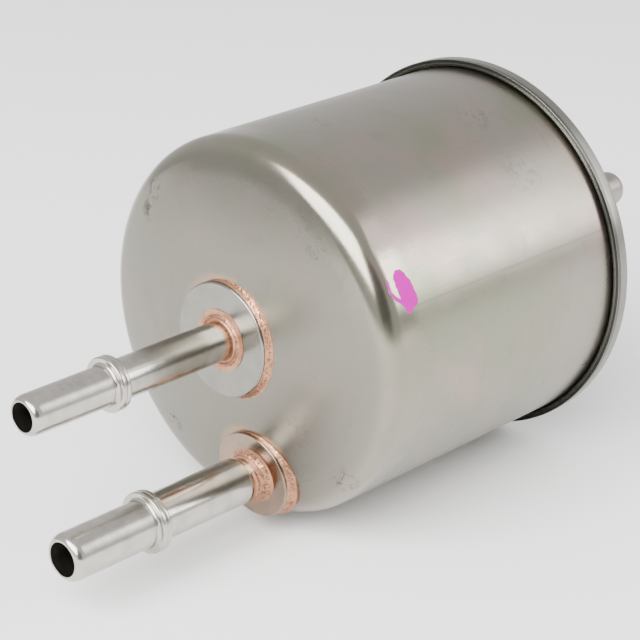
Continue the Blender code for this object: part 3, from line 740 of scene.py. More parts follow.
@dataclass(frozen=True)
class DrawnSteel(Finish):
    """Bare stainless steel of the can: softly mottled, scuffed, stained and marked with paint."""

    warm: Triple = (0.286, 0.260, 0.225)
    olive: Triple = (0.250, 0.248, 0.186)
    rose: Triple = (0.318, 0.252, 0.226)
    end_tone: Triple = (0.180, 0.176, 0.148)
    end_share: float = 0.70
    end_at: float = -0.0350
    dark: Triple = (0.070, 0.067, 0.060)
    copper: Triple = (0.47, 0.285, 0.190)
    paint: Triple = (0.47, 0.0, 0.32)
    roughness: float = 0.30
    polish: float = 0.12
    polish_end: float = -0.0292
    polish_start: float = 0.0335
    scuffs: tuple[Scuff, ...] = ()
    stains: tuple[Stain, ...] = ()
    strokes: tuple[Stroke, ...] = ()
    draw_line: Triple = (-0.340, 0.0, 0.940)
    draw_half: float = 0.00034
    draw_share: float = 0.22
    speck_share: float = 0.10
    stain_share: float = 0.55
    line_stretch: Triple = (2600.0, 90.0, 2600.0)
    smear_stretch: Triple = (150.0, 420.0, 150.0)
    paint_ragged: float = 0.0007
    paint_soft: float = 0.00006
    relief: float = 0.000012

    def lay(self, shader: Shader) -> None:
        """Add the finish's nodes to a material.

        Args:
            shader: the material's tree.
        """
        cloud = shader.noise(scale=38.0, detail=3.0, roughness=0.55).step(0.36, 0.64)
        elsewhere = shader.scaled(UNSCALED, (0.3, 0.1, 0.2))
        blush = shader.noise(scale=55.0, detail=2.0, roughness=0.5, place=elsewhere)
        tint = shader.mix(cloud, self.warm, self.olive)
        tint = shader.mix(blush.step(0.48, 0.68), tint, self.rose)
        height = shader.dot(shader.place, ALONG_CAN)
        end_wall = height.step(self.end_at, self.end_at - 0.0018) * self.end_share
        tint = shader.mix(end_wall, tint, self.end_tone)
        marks = self._marks(shader)
        colour = shader.mix(marks, tint, self.dark)
        for stain in self.stains:
            colour = shader.mix(self._stained(shader, stain), colour, self.copper)
        painted = self._painted(shader)
        shader.put("Base Color", shader.mix(painted, colour, self.paint))
        lines = shader.noise(
            scale=1.0, detail=2.0, roughness=0.6, place=shader.scaled(self.line_stretch)
        )
        patches = shader.noise(scale=140.0, detail=3.0, roughness=0.6)
        off = shader.off_axis(ORIGIN)
        outer = off.step(self.polish_start - 0.003, self.polish_start)
        drawn = height.step(self.polish_end + 0.004, self.polish_end) * outer * self.polish
        rough = self.roughness + (patches - 0.5) * 0.12 + (lines - 0.5) * 0.08 + marks * 0.25
        shader.put("Roughness", rough - drawn + painted * 0.40)
        shader.put("Specular IOR Level", 0.0)
        shader.put("Metallic", 1.0 - painted)
        grain = shader.noise(scale=5200.0, detail=2.0, roughness=0.5)
        dull = lines * 0.5 + grain * 0.5 + patches * 1.5
        shader.bump(dull + painted * 3.0, self.relief)

    def _marks(self, shader: Shader) -> Value:
        """Share of dark rub marks, specks and the faint line along the can.

        Args:
            shader: the material's tree.

        Returns:
            The share, from 0 to 1.
        """
        specks = shader.noise(scale=1500.0, detail=3.0, roughness=0.6).step(0.62, 0.72)
        streaks = shader.scaled(self.smear_stretch)
        smears = shader.noise(scale=1.0, detail=3.0, roughness=0.6, place=streaks).step(0.55, 0.75)
        marks = (specks * self.speck_share).either(smears * self.speck_share)
        crumbs = shader.noise(scale=480.0, detail=4.0, roughness=0.7, distortion=1.0)
        crumbs = crumbs.step(0.50, 0.59)
        for scuff in self.scuffs:
            marks = marks.either(shader.near(scuff.place, scuff.reach) * crumbs * scuff.depth)
        off = shader.dot(shader.place, self.draw_line)
        height = shader.dot(shader.place, ALONG_CAN)
        side = height.step(self.polish_end, self.polish_end + 0.003)
        near_side = shader.dot(shader.place, (1.0, 0.0, 0.0)).step(0.0, 0.03)
        line = (off * off).step(self.draw_half**2, 0.0) * near_side * side
        return marks.either(line * self.draw_share)

    def _stained(self, shader: Shader, stain: Stain) -> Value:
        """Share of copper colour round one port.

        Args:
            shader: the material's tree.
            stain: the stain.

        Returns:
            The share, from 0 to 1.
        """
        off = shader.off_axis(stain.axis)
        ragged = (shader.noise(scale=420.0, detail=3.0, roughness=0.6) - 0.5) * stain.reach * 1.2
        edge = (off + ragged).step(stain.radius + stain.reach, stain.radius)
        side = shader.dot(shader.scaled(UNSCALED, stain.axis), stain.towards)
        return edge * side.step(-0.3 * stain.radius, 0.9 * stain.radius) * self.stain_share

    def _painted(self, shader: Shader) -> Value:
        """Share of marking paint, with a ragged edge.

        Args:
            shader: the material's tree.

        Returns:
            The share, from 0 to 1.
        """
        ragged = (shader.noise(scale=1300.0, detail=2.0, roughness=0.5) - 0.5) * self.paint_ragged
        shares = []
        for stroke in self.strokes:
            off = shader.off_stroke(stroke.start, stroke.end) + ragged
            outside = stroke.half_width + self.paint_soft
            shares.append(off.step(outside, stroke.half_width - self.paint_soft))
        return reduce(Value.either, shares)


@dataclass(frozen=True)
class TurnedSteel(Finish):
    """Stainless steel turned on a lathe: fine rings round an axis along Y."""

    colour: Triple = (0.60, 0.575, 0.535)
    shade: Triple = (0.47, 0.45, 0.42)
    roughness: float = 0.20
    ring_depth: float = 0.000006
    axis: Triple = ORIGIN
    flat_rings: bool = False

    def lay(self, shader: Shader) -> None:
        """Add the finish's nodes to a material.

        Args:
            shader: the material's tree.
        """
        if self.flat_rings:
            turn = shader.node("ShaderNodeCombineXYZ", {}, {0: shader.off_axis(self.axis)})
            place = shader.vector("MULTIPLY", turn.outputs[0], (RING_SCALE, 0.0, 0.0))
        else:
            place = shader.scaled((45.0, RING_SCALE, 45.0))
        rings = shader.noise(scale=1.0, detail=2.0, roughness=0.6, place=place)
        patches = shader.noise(scale=260.0, detail=3.0, roughness=0.6)
        shader.put("Base Color", shader.mix(patches.step(0.35, 0.75), self.colour, self.shade))
        rough = self.roughness + (rings - 0.5) * 0.10 + (patches - 0.5) * 0.10
        shader.put("Roughness", rough)
        shader.put("Metallic", 1.0)
        shader.bump(rings + patches * 0.7, self.ring_depth)


@dataclass(frozen=True)
class SeamSteel(Finish):
    """Rolled seam and rear cover: fine ribs, a dull outer band, and painted shade in the groove and
    between the ribs.
    """

    colour: Triple = (0.215, 0.210, 0.188)
    band: Triple = (0.180, 0.172, 0.154)
    # Near black: painted shade in the narrow groove next to the can.
    groove: Triple = (0.018, 0.017, 0.015)
    roughness: float = 0.30
    rib: Triple = (0.160, 0.157, 0.138)
    # Painted shade in the valleys between the ribs.
    painted_valley_shade: Triple = (0.048, 0.047, 0.041)
    can_radius: float = 0.0384
    groove_edge: float = 0.03888
    rib_pitch: float = 0.00034
    rib_reach: float = 0.00095
    seam_front: float = 0.0312

    def lay(self, shader: Shader) -> None:
        """Add the finish's nodes to a material.

        Args:
            shader: the material's tree.
        """
        off = shader.off_axis(ORIGIN)
        height = shader.dot(shader.place, ALONG_CAN)
        patches = shader.noise(scale=170.0, detail=3.0, roughness=0.6)
        turn = shader.node("ShaderNodeCombineXYZ", {}, {0: off})
        place = shader.vector("MULTIPLY", turn.outputs[0], (RING_SCALE, 0.0, 0.0))
        rings = shader.noise(scale=1.0, detail=2.0, roughness=0.7, place=place)
        colour = shader.mix(patches.step(0.35, 0.7) * 0.6, self.colour, self.band)
        beyond = off.step(self.can_radius - 0.0006, self.can_radius - 0.0002)
        depth = height - self.seam_front
        ribbed = beyond * depth.step(self.rib_reach + 0.00008, self.rib_reach - 0.00008)
        # Across the ribbed face the colour swings from the rib tone to painted shade in the
        # valleys.
        waves = ((off - self.groove_edge - depth) * (math.tau / self.rib_pitch)).cosine()
        ribs = shader.mix(waves.step(-0.5, 0.6), self.painted_valley_shade, self.rib)
        colour = shader.mix(ribbed, colour, ribs)
        # Painted shade: the groove next to the can's wall is coloured near black.
        inside = beyond * off.step(self.groove_edge + 0.00008, self.groove_edge - 0.00004)
        front = depth.step(0.0012, 0.0007)
        colour = shader.mix(inside * front, colour, self.groove)
        shader.put("Base Color", colour)
        shader.put("Roughness", self.roughness + (patches - 0.5) * 0.16 + (rings - 0.5) * 0.10)
        shader.put("Metallic", 1.0)
        shader.bump(rings + patches * 0.6, 0.000014)


@dataclass(frozen=True)
class CopperBraze(Finish):
    """Copper braze: dull orange where it is flat, with dark grains along its crest."""

    bright: Triple = (0.520, 0.265, 0.160)
    dull: Triple = (0.360, 0.185, 0.112)
    brown: Triple = (0.110, 0.050, 0.030)
    roughness: float = 0.42
    axis: Triple = ORIGIN
    crest: float = 0.005
    crest_half: float = 0.0006

    def lay(self, shader: Shader) -> None:
        """Add the finish's nodes to a material.

        Args:
            shader: the material's tree.
        """
        clouds = shader.noise(scale=420.0, detail=3.0, roughness=0.55)
        grains = shader.noise(scale=2400.0, detail=3.0, roughness=0.7).step(0.50, 0.60)
        off = shader.off_axis(self.axis) - self.crest
        ragged = (shader.noise(scale=900.0, detail=2.0, roughness=0.5) - 0.5) * self.crest_half
        crest = ((off + ragged) * (off + ragged)).step(self.crest_half**2, 0.0)
        colour = shader.mix(clouds.step(0.35, 0.7), self.bright, self.dull)
        colour = shader.mix(grains * (crest * 0.80 + 0.10), colour, self.brown)
        shader.put("Base Color", colour)
        shader.put("Roughness", self.roughness + (clouds - 0.5) * 0.2 - crest * 0.10)
        shader.put("Metallic", 0.95)
        shader.bump(grains * crest + clouds * 0.4, 0.00007)


@dataclass(frozen=True)
class Grained(Finish):
    """Plain solid with a fine grain and soft patches: rubber, plated sheet, wire or brass."""

    colour: Triple
    shade: Triple
    roughness: float = 0.4
    metallic: float = 0.0
    grain: float = 3000.0
    depth: float = 0.00001

    def lay(self, shader: Shader) -> None:
        """Add the finish's nodes to a material.

        Args:
            shader: the material's tree.
        """
        patches = shader.noise(scale=220.0, detail=3.0, roughness=0.6)
        grain = shader.noise(scale=self.grain, detail=2.0, roughness=0.5)
        shader.put("Base Color", shader.mix(patches.step(0.35, 0.7), self.colour, self.shade))
        shader.put("Roughness", self.roughness + (patches - 0.5) * 0.14 + (grain - 0.5) * 0.08)
        shader.put("Metallic", self.metallic)
        shader.bump(grain + patches * 0.5, self.depth)


@dataclass(frozen=True)
class Woven(Finish):
    """Cloth or wire mesh with threads that cross over and under each other."""

    thread: Triple
    gap: Triple
    pitch: float
    roughness: float = 0.6
    metallic: float = 0.0

    def lay(self, shader: Shader) -> None:
        """Add the finish's nodes to a material.

        Args:
            shader: the material's tree.
        """
        parts = shader.node("ShaderNodeSeparateXYZ", {}, {0: shader.place})
        turn = math.tau / self.pitch
        across = (Value(shader, parts.outputs["X"]) * turn).sine()
        along_y = (Value(shader, parts.outputs["Y"]) * turn).sine()
        up = (Value(shader, parts.outputs["Z"]) * turn).sine()
        weave = (across * up + along_y * 0.3) * 0.5 + 0.5
        wear = shader.noise(scale=300.0, detail=2.0, roughness=0.5)
        shader.put("Base Color", shader.mix(weave.step(0.25, 0.7), self.gap, self.thread))
        shader.put("Roughness", self.roughness + (wear - 0.5) * 0.15)
        shader.put("Metallic", self.metallic)
        shader.bump(weave, 0.00008)


@dataclass(frozen=True)
class FilterPaper(Finish):
    """Resin-treated filter paper with loose fibres."""

    colour: Triple = (0.74, 0.60, 0.34)
    shade: Triple = (0.62, 0.47, 0.24)
    stretch: Triple = (1800.0, 700.0, 1800.0)
    roughness: float = 0.82

    def lay(self, shader: Shader) -> None:
        """Add the finish's nodes to a material.

        Args:
            shader: the material's tree.
        """
        fibres = shader.noise(
            scale=1.0, detail=4.0, roughness=0.65,
            place=shader.scaled(self.stretch), distortion=1.2,
        )
        clouds = shader.noise(scale=160.0, detail=2.0, roughness=0.5)
        shader.put("Base Color", shader.mix(clouds * 0.5 + fibres * 0.5, self.colour, self.shade))
        shader.put("Roughness", self.roughness + (fibres - 0.5) * 0.1)
        shader.bump(fibres, 0.00004)


# ---------------------------------------------------------------------------------------------
# Pieces
# ---------------------------------------------------------------------------------------------


def along(facing: Facing, at: Triple = ORIGIN) -> Matrix:
    """Return the place of a turned piece whose axis points out of one end of the can."""
    return Matrix.Translation(at) @ Matrix.Rotation(facing.value, 4, "X")


@dataclass
class Housing:
    """Can and rear cover. Heights are the world's Y."""

    turner: Turner
    radius: float = 0.0384
    wall: float = 0.0010
    corner: float = 0.0050
    dome: float = 0.1280
    corner_at: float = -0.0316
    flange_radius: float = 0.03915
    flange_front: float = 0.03225
    flange_rear: float = 0.03305
    seam_front: float = 0.0312
    seam_rear: float = 0.03475
    seam_radius: float = 0.04015
    cover_wall: float = 0.0008
    chuck_radius: float = 0.03715
    cover_sink: float = 0.03075
    cover_dome: float = 0.2100
    groove_radius: float = 0.03888
    rib_pitch: float = 0.00025
    rib_depth: float = 0.00020
    ribs: int = 4
    groove_depth: float = 0.00055
    can_gap: float = 0.0003
    ring_step: float = 0.004
    rings: int = 14
    corner_steps: int = 20
    dome_steps: int = 30
    cover_steps: int = 16
    sides: int = 288

    def __post_init__(self) -> None:
        """Work out the domes' centres."""
        reach = self.radius - self.corner
        size = self.dome - self.corner
        self.dome_centre = self.corner_at + math.sqrt(size**2 - reach**2)
        self.edge_angle = math.asin(reach / size)
        inner = self.chuck_radius - self.cover_wall
        self.cover_centre = self.cover_sink - math.sqrt(self.cover_dome**2 - inner**2)

    def end_wall(self, offset: float, hole: float) -> list[Bend]:
        """Corner and dome of the can's front end, from the side to a hole round the axis.

        Args:
            offset: distance outwards from the outer face.
            hole: the hole's radius.

        Returns:
            The corners.
        """
        size = self.dome + offset
        bends = arc(
            (self.radius - self.corner, self.corner_at),
            self.corner + offset,
            math.pi / 2.0,
            self.edge_angle,
            self.corner_steps,
        )
        inner = math.asin(hole / size)
        centre = (0.0, self.dome_centre)
        return bends + arc(centre, size, self.edge_angle, inner, self.dome_steps)[1:]

    def make_can(self, steel: bpy.types.Material) -> bpy.types.Object:
        """Drawn cup with a domed end.

        Args:
            steel: the can's finish.

        Returns:
            The can.
        """
        outside = [
            Bend(self.flange_radius, self.flange_rear, TINY_ROUND),
            Bend(self.flange_radius, self.flange_front, TINY_ROUND),
            Bend(self.radius, self.flange_front, 0.0003),
        ]
        for ring in range(1, self.rings + 1):
            outside.append(Bend(self.radius, self.flange_front - self.ring_step * ring))
        outside += self.end_wall(0.0, HOLE_RADIUS)
        inside = list(reversed(self.end_wall(-self.wall, HOLE_RADIUS)))
        inside.append(Bend(self.radius - self.wall, self.flange_rear, TINY_ROUND))
        thing = self.turner.turn(
            "can", rounded(outside + inside), steel, along(Facing.REAR), self.sides
        )
        return settle(thing, ["housing_can"])

    def seam_ribs(self) -> list[Bend]:
        """Fine rolled ribs on the seam's front face, from the outside in to the groove.

        Returns:
            The corners.
        """
        bends = []
        start = self.groove_radius + self.rib_pitch * self.ribs
        for rib in range(self.ribs):
            radius = start - self.rib_pitch * rib
            bends.append(Bend(radius, self.seam_front + self.rib_depth, 0.00003))
            bends.append(Bend(radius - 0.5 * self.rib_pitch, self.seam_front, 0.00005))
        bends.append(Bend(self.groove_radius, self.seam_front + 0.00006, 0.00003))
        return bends

    def make_cover(self, steel: bpy.types.Material) -> bpy.types.Object:
        """Pressed rear cover, rolled over the can's flange.

        Args:
            steel: the cover's finish.

        Returns:
            The cover.
        """
        wall = self.cover_wall
        inner = self.chuck_radius - wall
        skirt = self.seam_radius - wall
        bends = [
            Bend(self.seam_radius, self.seam_rear, 0.0007),
            Bend(self.seam_radius, self.seam_front + 0.00010, 0.0004),
            *self.seam_ribs(),
            Bend(self.groove_radius, self.seam_front + self.groove_depth, 0.0001),
            Bend(self.radius + self.can_gap, self.seam_front + self.groove_depth, 0.0001),
            Bend(self.radius + self.can_gap, self.seam_front + wall),
            Bend(skirt, self.seam_front + wall),
            Bend(skirt, self.seam_rear - wall),
            Bend(self.chuck_radius, self.seam_rear - wall),
            Bend(self.chuck_radius, self.cover_sink - wall, 0.0008),
        ]
        start = math.pi - math.asin(inner / self.cover_dome)
        end = math.pi - math.asin(HOLE_RADIUS / self.cover_dome)
        centre = (0.0, self.cover_centre)
        bends += arc(centre, self.cover_dome - wall, start, end, self.cover_steps)
        panel = arc(centre, self.cover_dome, end, start, self.cover_steps)
        bends += panel[:-1]
        bends.append(Bend(inner, self.cover_sink, 0.0007))
        bends.append(Bend(inner, self.seam_rear, 0.0006))
        thing = self.turner.turn("rear_end", rounded(bends), steel, along(Facing.REAR), self.sides)
        return settle(thing, ["rear_cover"])


@dataclass
class Port:
    """Spigot with its boss and two braze rings. Heights run outwards from the end wall."""

    name: str
    turner: Turner
    facing: Facing
    seat: Triple
    dome: float
    tube: float
    bore: float
    bead: float
    reach: float
    bead_height: float
    neck: float
    neck_length: float
    inner_length: float
    boss: float
    boss_height: float
    lean: float = 0.0
    lean_axis: Triple = (1.0, 0.0, 0.0)
    boss_braze: float = 0.0012
    tube_braze: Point = (0.0022, 0.0021)
    thick_at: float = 0.1
    thinnest: float = 0.10
    ridges: tuple[float, ...] = ()
    ridge_rise: float = 0.00042
    bead_out: float = 0.0009
    edge_rounding: float = 0.0004
    seed: float = 1.0
    bead_half: float = 0.0011
    bead_groove: Point = (0.00012, 0.00025)
    nose_length: float = 0.0019
    nose_steps: int = 14
    lip: float = 0.0001
    disc_depth: float = 0.0006
    disc_gap: float = 0.0003
    copper_lap: float = 0.0002
    thin_from: float = 0.62
    thin_span: float = 1.25
    tube_sides: int = 128
    disc_sides: int = 160
    edge_copper_sides: int = 420
    foot_copper_sides: int = 300

    def place(self) -> Matrix:
        """Return the place of the tube's axis."""
        return along(self.facing, self.seat)

    def boss_place(self) -> Matrix:
        """Return the place of the boss's axis, which may lean."""
        return self.place() @ Matrix.Rotation(self.lean, 4, Vector(self.lean_axis))

    def make_spigot(self, steel: bpy.types.Material) -> bpy.types.Object:
        """Tube with a rolled nose, a bead and, where it has one, a shoulder and neck.

        Args:
            steel: the tube's finish.

        Returns:
            The tube.
        """
        nose = self.tube - self.bore - self.lip
        top = self.bead_height + self.bead_half
        low = self.bead_height - self.bead_half
        groove, half = self.bead_groove
        bends = [Bend(self.bore + self.lip, self.reach)]
        for step in range(1, self.nose_steps + 1):
            angle = step / self.nose_steps * math.pi / 2.0
            radius = self.tube - nose * (1.0 - math.sin(angle))
            bends.append(Bend(radius, self.reach - self.nose_length * (1.0 - math.cos(angle))))
        bends += [
            Bend(self.tube, top, 0.0008),
            Bend(self.bead, top, 0.00035),
            Bend(self.bead, self.bead_height + half, TINY_ROUND),
            Bend(self.bead - groove, self.bead_height, TINY_ROUND),
            Bend(self.bead, self.bead_height - half, TINY_ROUND),
            Bend(self.bead, low, 0.0005),
            Bend(self.tube, low, 0.0003),
        ]
        if self.neck_length > 0.0:
            shoulder = self.boss_height + self.neck_length
            bends += [
                Bend(self.tube, shoulder + 0.0002, 0.0006),
                Bend(self.neck, shoulder - 0.0002, 0.0003),
            ]
        bends += [
            Bend(self.neck, -self.inner_length),
            Bend(self.bore, -self.inner_length),
            Bend(self.bore, self.reach, 0.00015),
        ]
        thing = self.turner.turn(
            self.name + "_tube", rounded(bends, turn=10.0), steel, self.place(), self.tube_sides
        )
        return settle(thing, [self.name + "_spigot"])

    def foot(self, radius: float) -> float:
        """Height of the end wall at a distance from the port's axis."""
        return math.sqrt(self.dome**2 - radius**2) - self.dome

    def make_boss(self, steel: bpy.types.Material) -> bpy.types.Object:
        """Flat disc that the tube goes through.

        Args:
            steel: the disc's finish.

        Returns:
            The disc.
        """
        hole = self.neck + self.disc_gap
        bends = [
            Bend(self.boss, self.boss_height, self.edge_rounding),
            Bend(self.boss, self.foot(self.boss) - self.disc_depth),
            Bend(hole, -self.disc_depth),
            Bend(hole, self.boss_height, 0.0001),
        ]
        thing = self.turner.turn(
            self.name + "_disc", rounded(bends), steel, self.boss_place(), self.disc_sides
        )
        return settle(thing, [self.name + "_boss"])

    def make_boss_braze(self, copper: bpy.types.Material) -> bpy.types.Object:
        """Copper fillet round the boss.

        Args:
            copper: the braze's finish.

        Returns:
            The ring of copper.
        """
        inner = self.boss - self.copper_lap
        outer = self.boss + self.boss_braze
        top = self.boss_height - self.copper_lap
        foot = self.foot(outer)
        bends = [Bend(inner, top)]
        for step in range(1, 9):
            share = step / 8.0
            drop = 1.0 - (1.0 - share) ** 2
            tall = top + (foot + 0.00005 - top) * drop
            bends.append(Bend(inner + (outer - inner) * share, tall))
        bends += [Bend(outer, foot - self.disc_depth), Bend(inner, foot - self.disc_depth)]
        points = spread(rounded(bends), 0.00014)
        thing = self.turner.turn(
            self.name + "_edge_copper", points, copper, self.boss_place(),
            self.edge_copper_sides, (0.00013, 0.0009, self.seed),
        )
        self.thin_out(thing.data, inner)
        return settle(thing, [self.name + "_boss_braze"])

    def thin_out(self, mesh: bpy.types.Mesh, inner: float) -> None:
        """Draw a braze ring in to the disc on the side that the copper ran away from.

        Args:
            mesh: the ring's mesh, in its place.
            inner: the radius that it is drawn in to.
        """
        place = self.boss_place()
        back = place.inverted()
        for vertex in mesh.vertices:
            spot = back @ vertex.co
            radius = math.hypot(spot.x, spot.y)
            if radius <= inner:
                continue
            angle = math.atan2(spot.y, spot.x) - self.thick_at
            share = min(1.0, max(0.0, (math.cos(angle) + self.thin_from) / self.thin_span))
            share = max(self.thinnest, share**0.8)
            grown = inner + (radius - inner) * share
            spot.x, spot.y = spot.x * grown / radius, spot.y * grown / radius
            spot.z -= (1.0 - share) * self.copper_lap
            vertex.co = place @ spot

    def ridge(self, tall: float) -> float:
        """How far the copper stands out at a height, from the neck's ridges."""
        half = 0.00045
        return sum(
            self.ridge_rise * 0.5 * (1.0 + math.cos(math.pi * (tall - height) / half))
            for height in self.ridges
            if abs(tall - height) < half
        )

    def ridged(self, inner: float, outer: float, low: float, height: float) -> list[Bend]:
        """Outline of the copper up a ridged neck, from its top to its foot.

        Args:
            inner: the neck's radius.
            outer: the foot's radius.
            low: the foot's height.
            height: how far up the copper goes.

        Returns:
            The corners, from the top down.
        """
        bends = []
        for step in range(1, 41):
            drop = step / 40.0
            flare = drop**5
            tall = low + height * (1.0 - drop) + 0.0001
            radius = inner + 0.00025 + (outer - inner - 0.00025) * flare
            bends.append(Bend(radius + self.ridge(tall), tall))
        return bends

    def beaded(self, inner: float, outer: float, low: float) -> list[Bend]:
        """Outline of the thin copper skirt round a straight tube, with its raised bead.

        Args:
            inner: the tube's radius.
            outer: the skirt's outer radius.
            low: the skirt's height.

        Returns:
            The corners, from the tube out.
        """
        bends = []
        for step in range(1, 31):
            radius = inner + (outer - inner) * step / 30.0
            off = (radius - self.neck - self.bead_out) / 0.0005
            rise = 0.0 if abs(off) >= 1.0 else 0.00042 * 0.5 * (1.0 + math.cos(math.pi * off))
            climb = 0.0004 * max(0.0, 1.0 - step / 6.0) ** 2
            bends.append(Bend(radius, low + 0.00026 + rise + climb))
        return bends

    def make_tube_braze(self, copper: bpy.types.Material) -> bpy.types.Object:
        """Copper fillet between the boss and the tube.

        Args:
            copper: the braze's finish.

        Returns:
            The ring of copper.
        """
        inner = self.neck - 0.0001
        width, height = self.tube_braze
        outer = self.neck + width
        low = self.boss_height - 0.0001
        if self.ridges:
            grain = 0.00016
            bends = [Bend(inner, self.boss_height + height)]
            bends += self.ridged(inner, outer, low, height)
        else:
            grain = 0.00005
            bends = [Bend(inner, low + 0.0006)]
            bends += self.beaded(inner, outer, low)
        bends += [Bend(outer, low - 0.0004), Bend(inner, low - 0.0004)]
        points = spread(rounded(bends), 0.00012)
        thing = self.turner.turn(
            self.name + "_tube_copper", points, copper, self.boss_place(),
            self.foot_copper_sides, (grain, 0.0008, self.seed + 5.0),
        )
        return settle(thing, [self.name + "_spigot_braze"])


@dataclass
class Element:
    """Pleated paper and its perforated core, inside the can."""

    pleats: int = 60
    paper: float = 0.0004
    inner: float = 0.0153
    outer: float = 0.0309
    core_radius: float = 0.0147
    core_wall: float = 0.0006
    core_columns: int = 36
    core_rows: int = 18
    core_hole: float = 0.00078
    pleat_fill: float = 0.96
    fold_half: float = 0.0003
    crest_wall: float = 0.0010

    def make_paper(self, finish: bpy.types.Material) -> bpy.types.Object:
        """Ring of pleats, one V-shaped fold repeated round the axis.

        Args:
            finish: the paper's finish.

        Returns:
            The ring of pleats.
        """
        low, high = (corner.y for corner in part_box("pleated_element"))
        half = self.inner * math.tan(math.pi / self.pleats) * self.pleat_fill
        fold = self.fold_half
        loop = [
            (self.inner, -half), (self.outer, -fold), (self.outer, fold), (self.inner, half),
            (self.inner, half - self.paper), (self.outer - self.crest_wall, 0.0),
            (self.inner, self.paper - half),
        ]
        count = len(loop)
        start = bpy.data.meshes.new("fold")
        points = [(x, y, z) for z in (low, high) for x, y in loop]
        ends = [(0, 1, 5, 6), (1, 2, 5), (2, 3, 4, 5)]
        faces = [tuple(reversed(end)) for end in ends]
        faces += [tuple(corner + count for corner in end) for end in ends]
        for side in range(count):
            ahead = (side + 1) % count
            faces.append((side, ahead, ahead + count, side + count))
        start.from_pydata(points, [], faces)
        tree = Builder("pleat_ring", {"Pleats": int, "Finish": bpy.types.Material})
        ring = tree.shape(
            "GeometryNodeMeshLine", {}, {"Count": tree.given("Pleats"), "Offset": (0.0, 0.0, 0.0)}
        )
        angle = tree.value("GeometryNodeInputIndex") * math.tau / tree.given("Pleats")
        turn = tree.shape("ShaderNodeCombineXYZ", {}, {2: angle})
        folds = tree.shape(
            "GeometryNodeInstanceOnPoints",
            {},
            {"Points": ring, "Instance": tree.entry.outputs["Geometry"], "Rotation": turn},
        )
        tree.end(folds, False)
        sizes = {"Pleats": self.pleats, "Finish": finish}
        thing = tree.build("paper_pleats", start, sizes, along(Facing.REAR))
        return settle(thing, ["pleated_element"])

    def make_core(self, finish: bpy.types.Material) -> bpy.types.Object:
        """Perforated tube, one holed tile repeated round and along the axis.

        Args:
            finish: the tube's finish.

        Returns:
            The tube.
        """
        low, high = (corner.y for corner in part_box("element_core"))
        pitch = (high - low) / self.core_rows
        half = self.core_radius * math.tan(math.pi / self.core_columns)
        start = self.holed_tile(half, pitch / 2.0)
        kinds = {"Columns": int, "Rows": int, "Radius": float, "Pitch": float, "Low": float}
        tree = Builder("perforated_tube", {**kinds, "Finish": bpy.types.Material})
        index = tree.value("GeometryNodeInputIndex")
        columns = tree.given("Columns")
        row = (index / columns + 0.0001).floor()
        angle = (index - row * columns) * math.tau / columns
        radius = tree.given("Radius")
        spot = tree.shape(
            "ShaderNodeCombineXYZ",
            {},
            {
                0: radius * angle.cosine(),
                1: radius * angle.sine(),
                2: tree.given("Low") + (row + 0.5) * tree.given("Pitch"),
            },
        )
        line = tree.shape("GeometryNodeMeshLine", {}, {"Count": columns * tree.given("Rows")})
        spots = tree.shape("GeometryNodeSetPosition", {}, {"Geometry": line, "Position": spot})
        turn = tree.shape("ShaderNodeCombineXYZ", {}, {2: angle})
        tiles = tree.shape(
            "GeometryNodeInstanceOnPoints",
            {},
            {"Points": spots, "Instance": tree.entry.outputs["Geometry"], "Rotation": turn},
        )
        tree.end(tiles, False)
        sizes = {
            "Columns": self.core_columns, "Rows": self.core_rows, "Radius": self.core_radius,
            "Pitch": pitch, "Low": low, "Finish": finish,
        }
        thing = tree.build("perforated_core", start, sizes, along(Facing.REAR))
        return settle(thing, ["element_core"])

    def holed_tile(self, half_width: float, half_height: float) -> bpy.types.Mesh:
        """Return a small plate with a round hole, facing along X.

        Args:
            half_width: half the plate's width.
            half_height: half its height.

        Returns:
            The plate's mesh.
        """
        corners = [(1, 0), (1, 1), (0, 1), (-1, 1), (-1, 0), (-1, -1), (0, -1), (1, -1)]
        points = []
        for depth in (-0.5 * self.core_wall, 0.5 * self.core_wall):
            points += [(depth, across * half_width, up * half_height) for across, up in corners]
            for side in range(8):
                angle = side * math.tau / 8.0
                points.append(
                    (depth, self.core_hole * math.cos(angle), self.core_hole * math.sin(angle))
                )
        faces = []
        for side in range(8):
            ahead = (side + 1) % 8
            faces.append((side + 8, ahead + 8, ahead, side))
            faces.append((side + 16, ahead + 16, ahead + 24, side + 24))
            faces.append((side, ahead, ahead + 16, side + 16))
            faces.append((ahead + 8, side + 8, side + 24, ahead + 24))
        tile = bpy.data.meshes.new("tile")
        tile.from_pydata(points, [], faces)
        return tile


